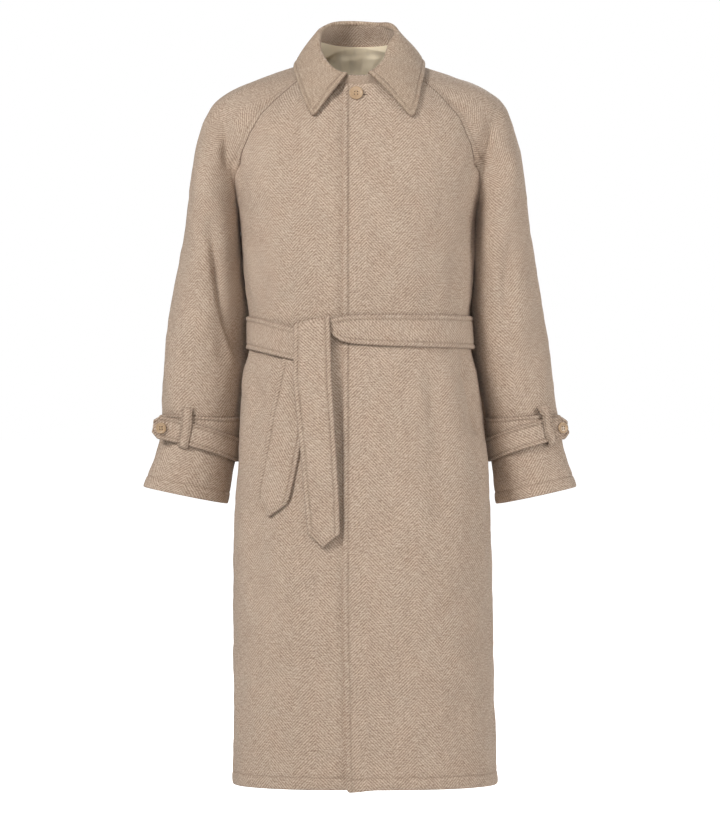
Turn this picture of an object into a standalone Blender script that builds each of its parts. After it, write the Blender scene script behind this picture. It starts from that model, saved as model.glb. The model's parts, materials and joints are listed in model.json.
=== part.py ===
"""Belted raglan coat in its worn shape, empty inside: one wall of cloth for each cut piece.

Metres, +Z up. The coat faces -Y, and X grows to the viewer's right, the wearer's left.
The origin is in the middle of the neck hole, where the wearer's shoulders hold the coat.
"""
import math

import bmesh
import bpy
import numpy as np
from mathutils import Vector

# Walls and the gaps between them
CLOTH = 0.0024
COLLAR_CLOTH = 0.0028
BELT_CLOTH = 0.004
STRAP_CLOTH = 0.003
LINING_CLOTH = 0.001
SEAM_GAP = 0.0003
LAYER_GAP = 0.0007
LINING_ROWS = 6

# Body sections are rounded oblongs: 2 is an ellipse, more is squarer
SQUARENESS = 2.3
SIDE_SEAM_Y = 0.008
UNDERARM = 6
CURVE_POINTS = 160
ARC_POINTS = 25
DENT_Y = 0.070
DENT_SPREAD = 0.045

# Front edge of the upper front, and how far the other front runs on under it
EDGE_X = -0.0265
EDGE_X_AT_HEM = -0.0205
EDGE_STRAIGHT_TO = -0.85
UNDERLAP_X = 0.045
UNDERLAP_STEP = 0.016
UNDERLAP_CLEAR = 0.005
UNDERLAP_STEPS = 3

# Points across each wall, and rows along it, counted in the tables' own row numbers
FRONT_STEPS = 12
BACK_STEPS = 22
SLEEVE_STEPS = 24
YOKE_ROWS = np.linspace(0, UNDERARM, 11)
BODY_ROWS = (7, 8, 9, 9.5, 10, 10.5, 11, 12, 13, 14, 14.5, 15, 15.5, 16)
ARM_ROWS = (6.5, 7, 8, 9, 9.5, 10, 10.5, 11, 11.5, 12, 12.5, 13)


def table(names, *rows):
    """Named columns of a short table that has one row for each section."""
    return dict(zip(names.split(), np.array(rows).T))


# Neck to armhole: the middle of each front row, then the raglan seam's place on it
FRONT_YOKE = table(
    "height depth seam_x seam_y seam_z centre",
    (-0.033, 0.105, 0.0695, -0.025, -0.005, 0.000),
    (-0.062, 0.121, 0.105, -0.058, -0.027, 0.000),
    (-0.100, 0.133, 0.150, -0.080, -0.073, -0.001),
    (-0.140, 0.140, 0.172, -0.082, -0.112, -0.003),
    (-0.185, 0.147, 0.188, -0.068, -0.152, -0.004),
    (-0.215, 0.150, 0.194, -0.045, -0.190, -0.004),
)
BACK_YOKE = table(
    "height depth seam_x seam_y seam_z",
    (0.045, 0.078, 0.050, 0.055, 0.033),
    (0.002, 0.108, 0.092, 0.084, 0.005),
    (-0.048, 0.128, 0.138, 0.102, -0.042),
    (-0.100, 0.138, 0.168, 0.104, -0.095),
    (-0.160, 0.144, 0.186, 0.090, -0.150),
    (-0.205, 0.147, 0.192, 0.060, -0.200),
)
# Underarm to hem, all round
BODY = table(
    "front_height side_height half_width centre front_depth back_depth dent",
    (-0.245, -0.245, 0.188, -0.004, 0.152, 0.147, 0.00),
    (-0.300, -0.300, 0.185, -0.003, 0.150, 0.144, 0.04),
    (-0.350, -0.350, 0.182, -0.002, 0.145, 0.139, 0.05),
    (-0.394, -0.394, 0.177, -0.001, 0.138, 0.133, 0.05),
    (-0.449, -0.449, 0.179, 0.000, 0.138, 0.135, 0.05),
    (-0.490, -0.490, 0.188, 0.001, 0.146, 0.146, 0.04),
    (-0.560, -0.560, 0.1955, 0.003, 0.154, 0.156, 0.04),
    (-0.640, -0.640, 0.200, 0.005, 0.159, 0.161, 0.01),
    (-0.760, -0.760, 0.206, 0.004, 0.164, 0.164, 0.00),
    (-1.000, -1.000, 0.208, 0.006, 0.168, 0.167, 0.00),
    (-1.132, -1.141, 0.211, 0.008, 0.171, 0.169, 0.00),
)
# Sleeve over the shoulder: its outermost line, how full it is, and how creased at the seam
CROWN = table(
    "outer_x outer_y outer_z front_full back_full crease",
    (0.072, 0.015, 0.014, 0.001, 0.002, 0.0),
    (0.118, 0.012, 0.001, 0.010, 0.012, 0.0),
    (0.197, 0.008, -0.028, 0.022, 0.024, 0.0),
    (0.236, 0.005, -0.060, 0.026, 0.028, 0.1),
    (0.255, 0.005, -0.114, 0.040, 0.037, 0.4),
    (0.266, 0.005, -0.170, 0.058, 0.053, 0.8),
)
# Sleeve from the underarm to the cuff's edge: closed rings
ARM = table(
    "outer_x outer_z inner_x inner_y inner_z middle_y half_depth outer_shift inner_shift",
    (0.274, -0.230, 0.1886, 0.008, -0.245, 0.008, 0.084, -0.004, -0.004),
    (0.2852, -0.298, 0.1815, 0.030, -0.309, 0.014, 0.083, -0.004, -0.003),
    (0.2980, -0.370, 0.1740, 0.045, -0.383, 0.020, 0.079, -0.005, -0.001),
    (0.3092, -0.447, 0.1770, 0.050, -0.467, 0.026, 0.073, -0.005, 0.000),
    (0.3161, -0.518, 0.1905, 0.050, -0.542, 0.030, 0.066, -0.003, 0.003),
    (0.3193, -0.556, 0.1985, 0.050, -0.581, 0.032, 0.058, 0.000, 0.004),
    (0.3265, -0.605, 0.2070, 0.046, -0.630, 0.033, 0.056, 0.001, 0.005),
    (0.3490, -0.667, 0.2163, 0.040, -0.695, 0.034, 0.055, 0.000, 0.004),
)
ARC_FULLNESS = 1.12

# Largest folds: a trough, or a ridge where the depth is positive, along a line seen from the front
FOLDS = table(
    "facing top_x top_z bottom_x bottom_z width depth",
    (-1, -0.222, -0.070, -0.203, -0.180, 0.016, -0.006),
    (-1, 0.221, -0.075, 0.197, -0.172, 0.016, -0.007),
    (-1, -0.237, -0.250, -0.214, -0.470, 0.014, -0.007),
    (-1, 0.226, -0.250, 0.232, -0.450, 0.014, -0.005),
    (-1, 0.160, -0.478, 0.186, -0.580, 0.013, -0.006),
    (-1, 0.118, -0.490, 0.124, -0.720, 0.018, -0.004),
    (-1, 0.152, -0.290, 0.150, -0.375, 0.012, -0.004),
    (-1, -0.150, -0.520, -0.165, -0.850, 0.020, -0.004),
    (1, -0.090, -0.280, -0.085, -0.370, 0.016, -0.005),
    (1, 0.085, -0.290, 0.090, -0.375, 0.016, -0.005),
    (1, -0.030, -0.500, -0.040, -0.900, 0.022, -0.006),
    (1, 0.120, -0.490, 0.130, -0.950, 0.020, -0.006),
    (1, -0.222, -0.080, -0.200, -0.200, 0.016, -0.006),
    (1, 0.218, -0.080, 0.197, -0.200, 0.016, -0.006),
)
FOLD_END = 0.15

# Collar: the stand's height from the back to its front ends, and the leaf's edge
STAND_FRACTIONS = (0.0, 0.15, 0.3, 0.42, 0.55, 0.75, 1.0)
STAND_HEIGHTS = (0.039, 0.041, 0.048, 0.050, 0.045, 0.031, 0.012)
STAND_LEFT_END = 0.77
STAND_UP = np.array((0.0, -0.433, 0.902))
STAND_LEAN_RIGHT = 0.05
STAND_LEAN_LEFT = 0.12
STAND_STEPS = 3
LEAF_EDGE = table(
    "right_x left_x y z",
    (-0.0740, 0.0830, -0.130, -0.0905),
    (-0.0860, 0.0920, -0.110, -0.062),
    (-0.0990, 0.0990, -0.070, -0.024),
    (-0.1040, 0.1030, -0.020, 0.000),
    (-0.0950, 0.0950, 0.035, 0.008),
    (-0.0650, 0.0650, 0.078, 0.015),
    (0.0000, 0.0000, 0.096, 0.018),
)
LEAF_COLUMNS = 34
LEAF_FALL_STEPS = 4
LEAF_BULGE = 0.0015
LEAF_RIGHT_END_X = -0.019
LEAF_LEFT_END_X = 0.016
LEAF_GAP = 0.0013
LEAF_EDGE_GAP = 0.0016
LEAF_INSIDE = 0.02
ROLL_OUT = 0.0050
ROLL_UP = 0.0026

# Belt: the band round the waist and the two hanging ends of the knot
BELT_HEIGHT = -0.421
BELT_WIDTH = 0.053
BELT_GAP = 0.0010
BELT_DIP = 0.021
BELT_DIP_FROM = -0.174
BELT_DIP_TO = -0.098
KNOT_X = -0.065
KNOT_GAP = 0.002
KNOT_LIFT = 0.0066
KNOT_LIFT_LEFT = (-0.160, -0.122)
KNOT_LIFT_RIGHT = (0.000, -0.034)
KNOT_PINCH = 0.55
KNOT_PINCH_FROM = 0.012
FRONT_END = table(
    "left_x left_z right_x right_z lift",
    (-0.097, -0.4300, -0.045, -0.4190, 0.0053),
    (-0.097, -0.4150, -0.045, -0.4030, 0.0054),
    (-0.098, -0.4110, -0.045, -0.3990, 0.0074),
    (-0.098, -0.4110, -0.045, -0.3990, 0.0104),
    (-0.098, -0.4150, -0.045, -0.4030, 0.0128),
    (-0.098, -0.4320, -0.044, -0.4260, 0.0132),
    (-0.098, -0.4620, -0.043, -0.4580, 0.0132),
    (-0.098, -0.4950, -0.042, -0.4950, 0.0100),
    (-0.0885, -0.5980, -0.0355, -0.5980, 0.0068),
    (-0.0820, -0.6920, -0.0310, -0.6920, 0.0044),
    (-0.0790, -0.7350, -0.0300, -0.7350, 0.0030),
    (-0.0660, -0.7520, -0.0450, -0.7520, 0.0028),
)
BACK_END = table(
    "left_x left_z right_x right_z lift",
    (-0.1140, -0.4330, -0.0600, -0.4430, 0.0012),
    (-0.1200, -0.4640, -0.0660, -0.4740, 0.0012),
    (-0.1340, -0.5350, -0.0800, -0.5450, 0.0016),
    (-0.1475, -0.6060, -0.0935, -0.6160, 0.0016),
    (-0.1607, -0.6765, -0.1090, -0.6880, 0.0016),
    (-0.1470, -0.7030, -0.1300, -0.7060, 0.0016),
)
STRIP_STEPS = 3
STRIP_STEP = 0.024
SLOPE_STEP = 0.006

# Cuff straps, by the sleeve's own columns: under the arm is 0, the front about 6, the outside 12
STRAP_ROW = 11.5
STRAP_WIDTH = 0.038
STRAP_START = 1
STRAP_LEAVES = 32
STRAP_SHIFT_AT = (1, 6, 12, 18, 25, 30, 32)
STRAP_SHIFTS = (-0.021, -0.012, 0.002, 0.008, 0.014, 0.002, -0.003)
STRAP_CLIMB = (19, 25)
STRAP_TAIL = ((0.018, 1.0), (0.036, 1.0), (0.046, 0.55))
STRAP_TAIL_RISE = -0.06
STRAP_BUTTON = 0.031
LOOP_COLUMNS = (7, 8)
LOOP_HALF = 0.033
LOOP_CLOTH = 0.002
LOOP_RISE = ((0.7, 1.0), (0.85, 0.75), (0.93, 0.25), (1.0, 0.0))
LOOP_PROFILE = tuple((-part, lift) for part, lift in LOOP_RISE[::-1]) + LOOP_RISE

# Buttons
NECK_BUTTON_X = -0.006
NECK_BUTTON_Z = -0.0500
NECK_BUTTON_LIFT = 0.0026
NECK_BUTTON_RADIUS = 0.011
CUFF_BUTTON_RADIUS = 0.009
BUTTON_THICKNESS = 0.0034
BUTTON_DISH = 0.0011
BUTTON_HOLE = 0.0011
BUTTON_HOLE_SPREAD = 0.21
BUTTON_SIDES = 18
SAME_POINT = 0.00001

WOOL = (0.49, 0.39, 0.30, 1.0)
LINING = (0.36, 0.28, 0.19, 1.0)
HORN = (0.57, 0.40, 0.26, 1.0)


def smooth(part):
    """0 to 1 with a level start and end."""
    part = np.clip(part, 0.0, 1.0)
    return part * part * (3.0 - 2.0 * part)


def unit(vectors):
    return vectors / np.maximum(np.linalg.norm(vectors, axis=-1, keepdims=True), 1e-12)


def joined(upper, lower):
    return np.concatenate((upper, lower))


FRONT = {
    "height": joined(FRONT_YOKE["height"], BODY["front_height"]),
    "depth": joined(FRONT_YOKE["depth"], BODY["front_depth"]),
    "seam_x": joined(FRONT_YOKE["seam_x"], BODY["half_width"]),
    "seam_y": joined(FRONT_YOKE["seam_y"], SIDE_SEAM_Y + 0 * BODY["dent"]),
    "seam_z": joined(FRONT_YOKE["seam_z"], BODY["side_height"]),
    "centre": joined(FRONT_YOKE["centre"], BODY["centre"]),
    "dent": joined(0 * FRONT_YOKE["centre"], BODY["dent"]),
}
BACK = dict(
    FRONT,
    height=joined(BACK_YOKE["height"], BODY["side_height"]),
    depth=joined(BACK_YOKE["depth"], BODY["back_depth"]),
    seam_x=joined(BACK_YOKE["seam_x"], BODY["half_width"]),
    seam_y=joined(BACK_YOKE["seam_y"], SIDE_SEAM_Y + 0 * BODY["dent"]),
    seam_z=joined(BACK_YOKE["seam_z"], BODY["side_height"]),
)
SLEEVE = {
    "outer_x": joined(CROWN["outer_x"], ARM["outer_x"]),
    "outer_y": joined(CROWN["outer_y"], ARM["middle_y"]),
    "outer_z": joined(CROWN["outer_z"], ARM["outer_z"]),
    "front_full": joined(CROWN["front_full"], ARM["half_depth"]),
    "back_full": joined(CROWN["back_full"], ARM["half_depth"]),
    "crease": joined(CROWN["crease"], np.ones(len(ARM["outer_x"]))),
    "outer_shift": joined(FRONT_YOKE["centre"], ARM["outer_shift"]),
    "inner_shift": joined(FRONT_YOKE["centre"], ARM["inner_shift"]),
}


def value(columns, name, row):
    """A column's value at a fractional row, on a smooth curve through the rows."""
    data = columns[name]
    last = len(data) - 1
    low = min(int(row), last - 1)
    part = row - low
    start, end = data[low], data[low + 1]
    slope_start = (end - data[max(low - 1, 0)]) / 2
    slope_end = (data[min(low + 2, last)] - start) / 2
    bend = part * part * (3 - 2 * part)
    ease_in = part * (1 - part) ** 2
    ease_out = part * part * (part - 1)
    return start + (end - start) * bend + slope_start * ease_in + slope_end * ease_out


def body_row(columns, facing, row):
    """Half a row of the front (facing -1) or back (1), from the middle to its seam."""
    depth = value(columns, "depth", row)
    seam_x = value(columns, "seam_x", row)
    seam_part = facing * value(columns, "seam_y", row) / depth
    reach = seam_x / (1 - abs(seam_part) ** SQUARENESS) ** (1 / SQUARENESS)
    end = math.acos(math.copysign(abs(seam_part) ** (SQUARENESS / 2), seam_part))
    angle = np.linspace(0, end, CURVE_POINTS)
    across = np.cos(angle)
    x = reach * np.sin(angle) ** (2 / SQUARENESS)
    y = facing * depth * np.sign(across) * np.abs(across) ** (2 / SQUARENESS)
    steps = np.hypot(np.diff(x), np.diff(y))
    length = np.concatenate(((0.0,), np.cumsum(steps)))
    height = value(columns, "height", row)
    z = height + (value(columns, "seam_z", row) - height) * (length / length[-1]) ** 2
    x = x * (1 - value(columns, "dent", row) * np.exp(-((y - DENT_Y) / DENT_SPREAD) ** 2))
    return np.stack((x, y, z), axis=1), length


def body_points(columns, facing, row, distances):
    """Points of a row at signed distances from the middle, as parts of the half row."""
    curve, length = body_row(columns, facing, row)
    places = np.abs(distances) * length[-1]
    points = np.stack([np.interp(places, length, curve[:, axis]) for axis in range(3)], axis=1)
    points[:, 0] = points[:, 0] * np.sign(distances) + value(columns, "centre", row)
    return points


def front_edge(row):
    """Where the upper front's edge is on a row."""
    height = value(FRONT, "height", row)
    return np.interp(height, (FRONT["height"][-1], EDGE_STRAIGHT_TO), (EDGE_X_AT_HEM, EDGE_X))


def front_grid(side):
    """Outer points of one front, from its inner edge to its seams."""
    rows = []
    for row in joined(YOKE_ROWS, BODY_ROWS):
        length = body_row(FRONT, -1, row)[1][-1]
        edge = front_edge(row) - value(FRONT, "centre", row)
        places = np.linspace(edge / length, 1, FRONT_STEPS + 1)
        if side < 0:
            step = edge - UNDERLAP_CLEAR
            under = np.linspace(UNDERLAP_X, step, UNDERLAP_STEPS + 1) / length
            beside = np.linspace((step - UNDERLAP_STEP) / length, -1, FRONT_STEPS - UNDERLAP_STEPS)
            places = joined(under, beside)
        rows.append(body_points(FRONT, -1, row, places))
    return np.array(rows)


def back_grid():
    spread = np.linspace(-1, 1, BACK_STEPS + 1)
    return np.array([body_points(BACK, 1, row, spread) for row in joined(YOKE_ROWS, BODY_ROWS)])


def arc(points, first, last):
    """A round curve through points, with given directions at its ends."""
    chords = np.diff(points, axis=0)
    lengths = np.maximum(np.linalg.norm(chords, axis=1), 1e-9)
    ways = chords / lengths[:, None]
    inner = unit(ways[:-1] * lengths[1:, None] + ways[1:] * lengths[:-1, None])
    ways = np.concatenate((first[None], inner, last[None]))
    part = np.linspace(0, 1, ARC_POINTS)[:, None]
    pieces = []
    for place, length in enumerate(lengths):
        pull = length * ARC_FULLNESS
        bend = part * part * (3 - 2 * part)
        start, end = points[place], points[place + 1]
        piece = start + (end - start) * bend + ways[place] * pull * part * (1 - part) ** 2
        pieces.append(piece + ways[place + 1] * pull * part * part * (part - 1))
    return np.concatenate([piece[:-1] for piece in pieces] + [pieces[-1][-1:]])


def sleeve_row(row):
    """A sleeve's section on the viewer's right: front seam, over the arm, back seam."""
    outer = np.array([value(SLEEVE, name, row) for name in ("outer_x", "outer_y", "outer_z")])
    front_row = body_row(FRONT, -1, min(row, UNDERARM))[0]
    back_row = body_row(BACK, 1, min(row, UNDERARM))[0]
    front, back = front_row[-1], back_row[-1]
    if row >= UNDERARM:
        place = row - UNDERARM
        front = np.array([value(ARM, name, place) for name in ("inner_x", "inner_y", "inner_z")])
        back = front
    front_full = (front + outer) / 2 - (0, value(SLEEVE, "front_full", row), 0)
    back_full = (back + outer) / 2 + (0, value(SLEEVE, "back_full", row), 0)
    round_way = unit(front_full - back_full)
    crease = value(SLEEVE, "crease", row)
    first = unit((1 - crease) * unit(front_row[-1] - front_row[-2]) + crease * round_way)
    last = unit((1 - crease) * unit(back_row[-2] - back_row[-1]) + crease * round_way)
    if row >= UNDERARM:
        half_depth = value(SLEEVE, "front_full", row)
        front_full[1] = outer[1] - half_depth
        back_full[1] = outer[1] + half_depth
        lean = (front[1] - outer[1]) / half_depth
        first = unit((1 - lean) * round_way + lean * unit(front_full - front))
    curve = arc(np.stack((front, front_full, outer, back_full, back)), first, last)
    length = np.concatenate(((0.0,), np.cumsum(np.linalg.norm(np.diff(curve, axis=0), axis=1))))
    steps = SLEEVE_STEPS // 2 + 1
    outermost = length[2 * (ARC_POINTS - 1)]
    before = np.linspace(0, outermost, steps)
    places = joined(before, np.linspace(outermost, length[-1], steps)[1:])
    return np.stack([np.interp(places, length, curve[:, axis]) for axis in range(3)], axis=1)


def sleeve_grid(side):
    rows = []
    for row in joined(YOKE_ROWS, ARM_ROWS):
        points = sleeve_row(row)
        inside, outside = points[:, 0].min(), points[:, 0].max()
        inner, outer = value(SLEEVE, "inner_shift", row), value(SLEEVE, "outer_shift", row)
        shift = np.interp(points[:, 0], (inside, outside), (inner, outer))
        points[:, 0] = points[:, 0] * side + shift
        rows.append(points)
    return np.array(rows)


RING_START = len(YOKE_ROWS) - 1


def outward(grid, inside, ring_start=None):
    """Unit normals of a grid that point away from the points inside it."""
    across = np.gradient(grid, axis=1)
    if ring_start is not None:
        across[ring_start:, 0] = grid[ring_start:, 1] - grid[ring_start:, -2]
        across[ring_start:, -1] = across[ring_start:, 0]
    normals = unit(np.cross(across, np.gradient(grid, axis=0)))
    return normals * np.sign(np.sum(normals * (grid - inside)))


def share_seam(one, other):
    """Give two walls the same direction along a seam, except where it is creased."""
    together = unit(one + other)
    level = smooth((np.sum(one * other, axis=-1, keepdims=True) - 0.3) / 0.4)
    one[:] = unit(one + level * (together - one))
    other[:] = unit(other + level * (together - other))


def folded(grid, normals):
    """Press the largest folds into a grid."""
    moved = np.zeros(grid.shape[:2])
    for facing, top_x, top_z, bottom_x, bottom_z, width, depth in zip(*FOLDS.values()):
        run = np.array((bottom_x - top_x, bottom_z - top_z))
        off = grid[:, :, (0, 2)] - (top_x, top_z)
        part = off @ run / (run @ run)
        aside = (off[:, :, 0] * run[1] - off[:, :, 1] * run[0]) / math.hypot(*run)
        ends = smooth(part / FOLD_END + 0.5) * smooth((1 - part) / FOLD_END + 0.5)
        faces = smooth(facing * normals[:, :, 1] * 2)
        moved += depth * np.exp(-((aside / width) ** 2)) * ends * faces
    return grid + normals * moved[:, :, None]


def draw_back(grid, column, distance):
    """Shorten a grid along its rows at one of its edge columns."""
    step = 1 if column == 0 else -1
    away = unit(grid[:, column + step] - grid[:, column])
    grid[:, column] += away * distance


def make_panels():
    """Outer points and normals of the five large pieces."""
    grids = {
        "front_left": front_grid(1),
        "front_right": front_grid(-1),
        "back": back_grid(),
        "sleeve_left": sleeve_grid(1),
        "sleeve_right": sleeve_grid(-1),
    }
    normals = {}
    for name, grid in grids.items():
        ring = RING_START if name.startswith("sleeve") else None
        inside = grid.mean(axis=1, keepdims=True)
        if ring is None:
            inside[:, :, 1] = 0
        normals[name] = outward(grid, inside, ring)
    yoke = slice(0, RING_START)
    below = slice(RING_START, None)
    for side, front_column, back_column in (("left", -1, -1), ("right", -1, 0)):
        front, sleeve = normals["front_" + side], normals["sleeve_" + side]
        share_seam(front[yoke, front_column], sleeve[yoke, 0])
        share_seam(normals["back"][yoke, back_column], sleeve[yoke, -1])
        share_seam(front[below, front_column], normals["back"][below, back_column])
    for name in grids:
        grids[name] = folded(grids[name], normals[name])
    tuck_underlap(grids["front_right"], normals["front_right"])
    for name, grid in grids.items():
        if name.startswith("sleeve"):
            draw_back(grid[yoke], 0, SEAM_GAP / 2)
            draw_back(grid[yoke], -1, SEAM_GAP / 2)
        else:
            draw_back(grid, -1, SEAM_GAP / 2)
    draw_back(grids["back"], 0, SEAM_GAP / 2)
    return grids, normals


def tuck_underlap(grid, normals):
    """Lower the right front where the left one lies on it."""
    tucked = slice(0, UNDERLAP_STEPS + 1)
    grid[:, tucked] -= normals[:, tucked] * (CLOTH + LAYER_GAP)


def paint(name, colour, roughness):
    material = bpy.data.materials.new(name)
    material.use_nodes = True
    shader = material.node_tree.nodes["Principled BSDF"]
    shader.inputs["Base Color"].default_value = colour
    shader.inputs["Roughness"].default_value = roughness
    shader.inputs["Metallic"].default_value = 0.0
    material.diffuse_color = colour
    return material


def collection(name):
    group = bpy.data.collections.new(name)
    bpy.context.scene.collection.children.link(group)
    return group


def add_object(name, mesh, colour=WOOL, roughness=0.9):
    mesh.materials.append(paint(name, colour, roughness))
    mesh.shade_smooth()
    mesh.set_sharp_from_angle(angle=math.radians(50))
    item = bpy.data.objects.new(name, mesh)
    COAT.objects.link(item)
    return item


def wall(name, outer, normals, thickness, ring_start=None, colour=WOOL, roughness=0.9):
    """Closed wall between a grid of outer points and the same grid moved in."""
    rows, columns = outer.shape[:2]
    numbers = np.arange(rows * columns).reshape(rows, columns)
    if ring_start is not None:
        numbers[ring_start:, -1] = numbers[ring_start:, 0]
    faces = []
    for row in range(rows - 1):
        for column in range(columns - 1):
            here, below = numbers[row], numbers[row + 1]
            faces.append((here[column], here[column + 1], below[column + 1]))
            faces.append((here[column], below[column + 1], below[column]))
    points = outer.reshape(-1, 3)
    first = points[list(faces[0])]
    turned = np.cross(first[1] - first[0], first[2] - first[0])
    if turned @ normals.reshape(-1, 3)[faces[0][0]] < 0:
        faces = [face[::-1] for face in faces]
    inner = (outer - normals * thickness).reshape(-1, 3)
    count = len(points)
    sides = {(face[turn], face[(turn + 1) % 3]) for face in faces for turn in range(3)}
    rims = []
    for start, end in sorted(sides):
        if (end, start) in sides:
            continue
        corners = (end, start, start + count, end + count)
        turn = 1 if start < end else 0
        rims.append((corners[turn], corners[turn + 1], corners[(turn + 2) % 4]))
        rims.append((corners[turn], corners[(turn + 2) % 4], corners[(turn + 3) % 4]))
    backs = [tuple(corner + count for corner in face[::-1]) for face in faces]
    mesh = bpy.data.meshes.new(name)
    mesh.from_pydata(np.concatenate((points, inner)).tolist(), [], faces + rims + backs)
    shape = bmesh.new()
    shape.from_mesh(mesh)
    loose = [point for point in shape.verts if not point.link_faces]
    bmesh.ops.delete(shape, geom=loose, context="VERTS")
    shape.to_mesh(mesh)
    shape.free()
    return add_object(name, mesh, colour, roughness)


def make_lining(grids, normals):
    """Satin inside the back neck, down from the stand."""
    rows = slice(0, LINING_ROWS)
    columns = slice(1, -1)
    inset = CLOTH + LAYER_GAP
    outer = grids["back"][rows, columns] - normals["back"][rows, columns] * inset
    wall("lining_back_neck", outer, normals["back"][rows, columns], LINING_CLOTH, None, LINING, 0.4)


def neck_line(grids):
    """The neck seam, from the right front's edge round the back to the left front's edge."""
    right, left = grids["front_right"][0], grids["front_left"][0]
    lines = (
        right[right[:, 0] < left[0, 0] - UNDERLAP_CLEAR / 2],
        grids["sleeve_right"][0, 2:-1:4],
        grids["back"][0, ::2],
        grids["sleeve_left"][0, 2:-1:4][::-1],
        left[::-1],
    )
    return np.concatenate(lines)


def resample(line, count):
    length = np.concatenate(((0.0,), np.cumsum(np.linalg.norm(np.diff(line, axis=0), axis=1))))
    places = np.linspace(0, length[-1], count)
    return np.stack([np.interp(places, length, line[:, axis]) for axis in range(3)], axis=1)


def around(line):
    """Level directions that point out of a line round the neck."""
    along = np.gradient(line, axis=0)
    out = unit(np.cross(along, np.array((0.0, 0.0, 1.0))))
    return out * np.sign(np.sum(out * line))


def make_stand(grids):
    """The band that stands on the neck seam. Returns its top line and the directions there."""
    line = neck_line(grids)
    out = around(line)
    spread = np.linspace(-1, 1, len(line))
    spread = np.where(spread > 0, spread / STAND_LEFT_END, -spread)
    heights = np.interp(spread, STAND_FRACTIONS, STAND_HEIGHTS)[:, None]
    lean = np.where(out[:, :1] > 0, STAND_LEAN_LEFT, STAND_LEAN_RIGHT) * np.abs(out[:, :1])
    rise = unit(STAND_UP - out * lean)
    rows = []
    for part in np.linspace(0, 1, STAND_STEPS + 1):
        rows.append(line + rise * (SEAM_GAP * 1.5 + heights * part))
    grid = np.array(rows)
    away = unit(out - rise * np.sum(out * rise, axis=1, keepdims=True))
    wall("collar_stand", grid, np.repeat(away[None], len(rows), axis=0), CLOTH)
    return grid[-1], rise, away


def rest_on(points, grids, normals, gap, lowered=False):
    """Lift points that are nearer to the panels than a gap, or lay all of them at that gap."""
    fine_points = np.concatenate([refine(grid) for grid in grids.values()])
    fine_normals = unit(np.concatenate([refine(normals[name]) for name in grids]))
    lifted = points.reshape(-1, 3).copy()
    for place, point in enumerate(lifted):
        near = np.argmin(np.sum((fine_points - point) ** 2, axis=1))
        away = (point - fine_points[near]) @ fine_normals[near]
        if lowered or away < gap:
            lifted[place] += fine_normals[near] * (gap - away)
    return lifted.reshape(points.shape)


def refine(grid, times=4):
    """Points between a grid's points, on its flat faces."""
    for axis in (0, 1):
        count = grid.shape[axis]
        places = np.linspace(0, count - 1, (count - 1) * times + 1)
        low = np.minimum(places.astype(int), count - 2)
        part = (places - low).reshape((-1, 1, 1) if axis == 0 else (1, -1, 1))
        grid = np.take(grid, low, axis) * (1 - part) + np.take(grid, low + 1, axis) * part
    return grid.reshape(-1, 3)


def leaf_edge_line():
    """The leaf's outer edge, from its right point round the back to its left point."""
    right, left = (np.stack([LEAF_EDGE[name] for name in (side, "y", "z")], axis=1)
                   for side in ("right_x", "left_x"))
    line = np.concatenate((right, left[-2::-1]))
    columns = {axis: line[:, number] for number, axis in enumerate("xyz")}
    rows = np.linspace(0, len(line) - 1, CURVE_POINTS)
    fine = np.array([[value(columns, axis, row) for axis in "xyz"] for row in rows])
    return resample(fine, LEAF_COLUMNS + 1)


def make_leaf(top, rise, out, grids, normals):
    """The turned-down collar: over the stand's top edge and down to its own edge."""
    ends = [len(top) - np.argmax(top[::-1, 0] > end) for end in (LEAF_RIGHT_END_X, LEAF_LEFT_END_X)]
    kept = joined((ends[0] - 1,), np.arange(ends[1]))
    start = resample(top[kept], LEAF_COLUMNS + 1)
    up = unit(resample(rise[kept], LEAF_COLUMNS + 1))
    away = unit(resample(out[kept], LEAF_COLUMNS + 1))
    edge = rest_on(leaf_edge_line(), grids, normals, LEAF_EDGE_GAP, True)
    clear = SEAM_GAP * 3
    rows = [
        start - away * CLOTH + up * clear,
        start - away * CLOTH * 0.2 + up * (clear + ROLL_UP * 0.6),
        start + away * ROLL_OUT * 0.6 + up * (clear + ROLL_UP * 0.5),
    ]
    shoulder = start + away * ROLL_OUT - up * ROLL_UP
    for part in np.linspace(0, 1, LEAF_FALL_STEPS + 1):
        bulge = away * LEAF_BULGE * math.sin(math.pi * part)
        rows.append(shoulder * (1 - part) + edge * part + bulge)
    under = np.array(rows)
    inside = start - up * LEAF_INSIDE
    under[3:] = rest_on(under[3:], grids, normals, LEAF_GAP)
    ways = outward(under, inside)
    wall("collar_leaf", under + ways * COLLAR_CLOTH, ways, COLLAR_CLOTH)


def front_surface(grids, x, z):
    """Point and normal of the outermost front at a place seen from the front."""
    def depth(at_x, at_z):
        side = "front_left" if at_x > EDGE_X else "front_right"
        grid = grids[side]
        columns = range(grid.shape[1])
        across = [np.interp(-at_z, -grid[:, column, 2], grid[:, column, 0]) for column in columns]
        deep = [np.interp(-at_z, -grid[:, column, 2], grid[:, column, 1]) for column in columns]
        order = np.argsort(across)
        return np.interp(at_x, np.array(across)[order], np.array(deep)[order])

    step = SLOPE_STEP
    slope_x = (depth(x + step, z) - depth(x - step, z)) / (2 * step)
    slope_z = (depth(x, z + step) - depth(x, z - step)) / (2 * step)
    return np.array((x, depth(x, z), z)), unit(np.array((slope_x, -1.0, slope_z)))


def strip_rows(rows):
    """A strip's table with more rows where they are far apart."""
    data = np.stack(list(rows.values()), axis=1)
    fine = [data[0]]
    for start, end in zip(data, data[1:]):
        count = max(1, math.ceil(abs(end[1] - start[1]) / STRIP_STEP))
        fine += [start + (end - start) * step / count for step in range(1, count + 1)]
    return fine


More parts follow.
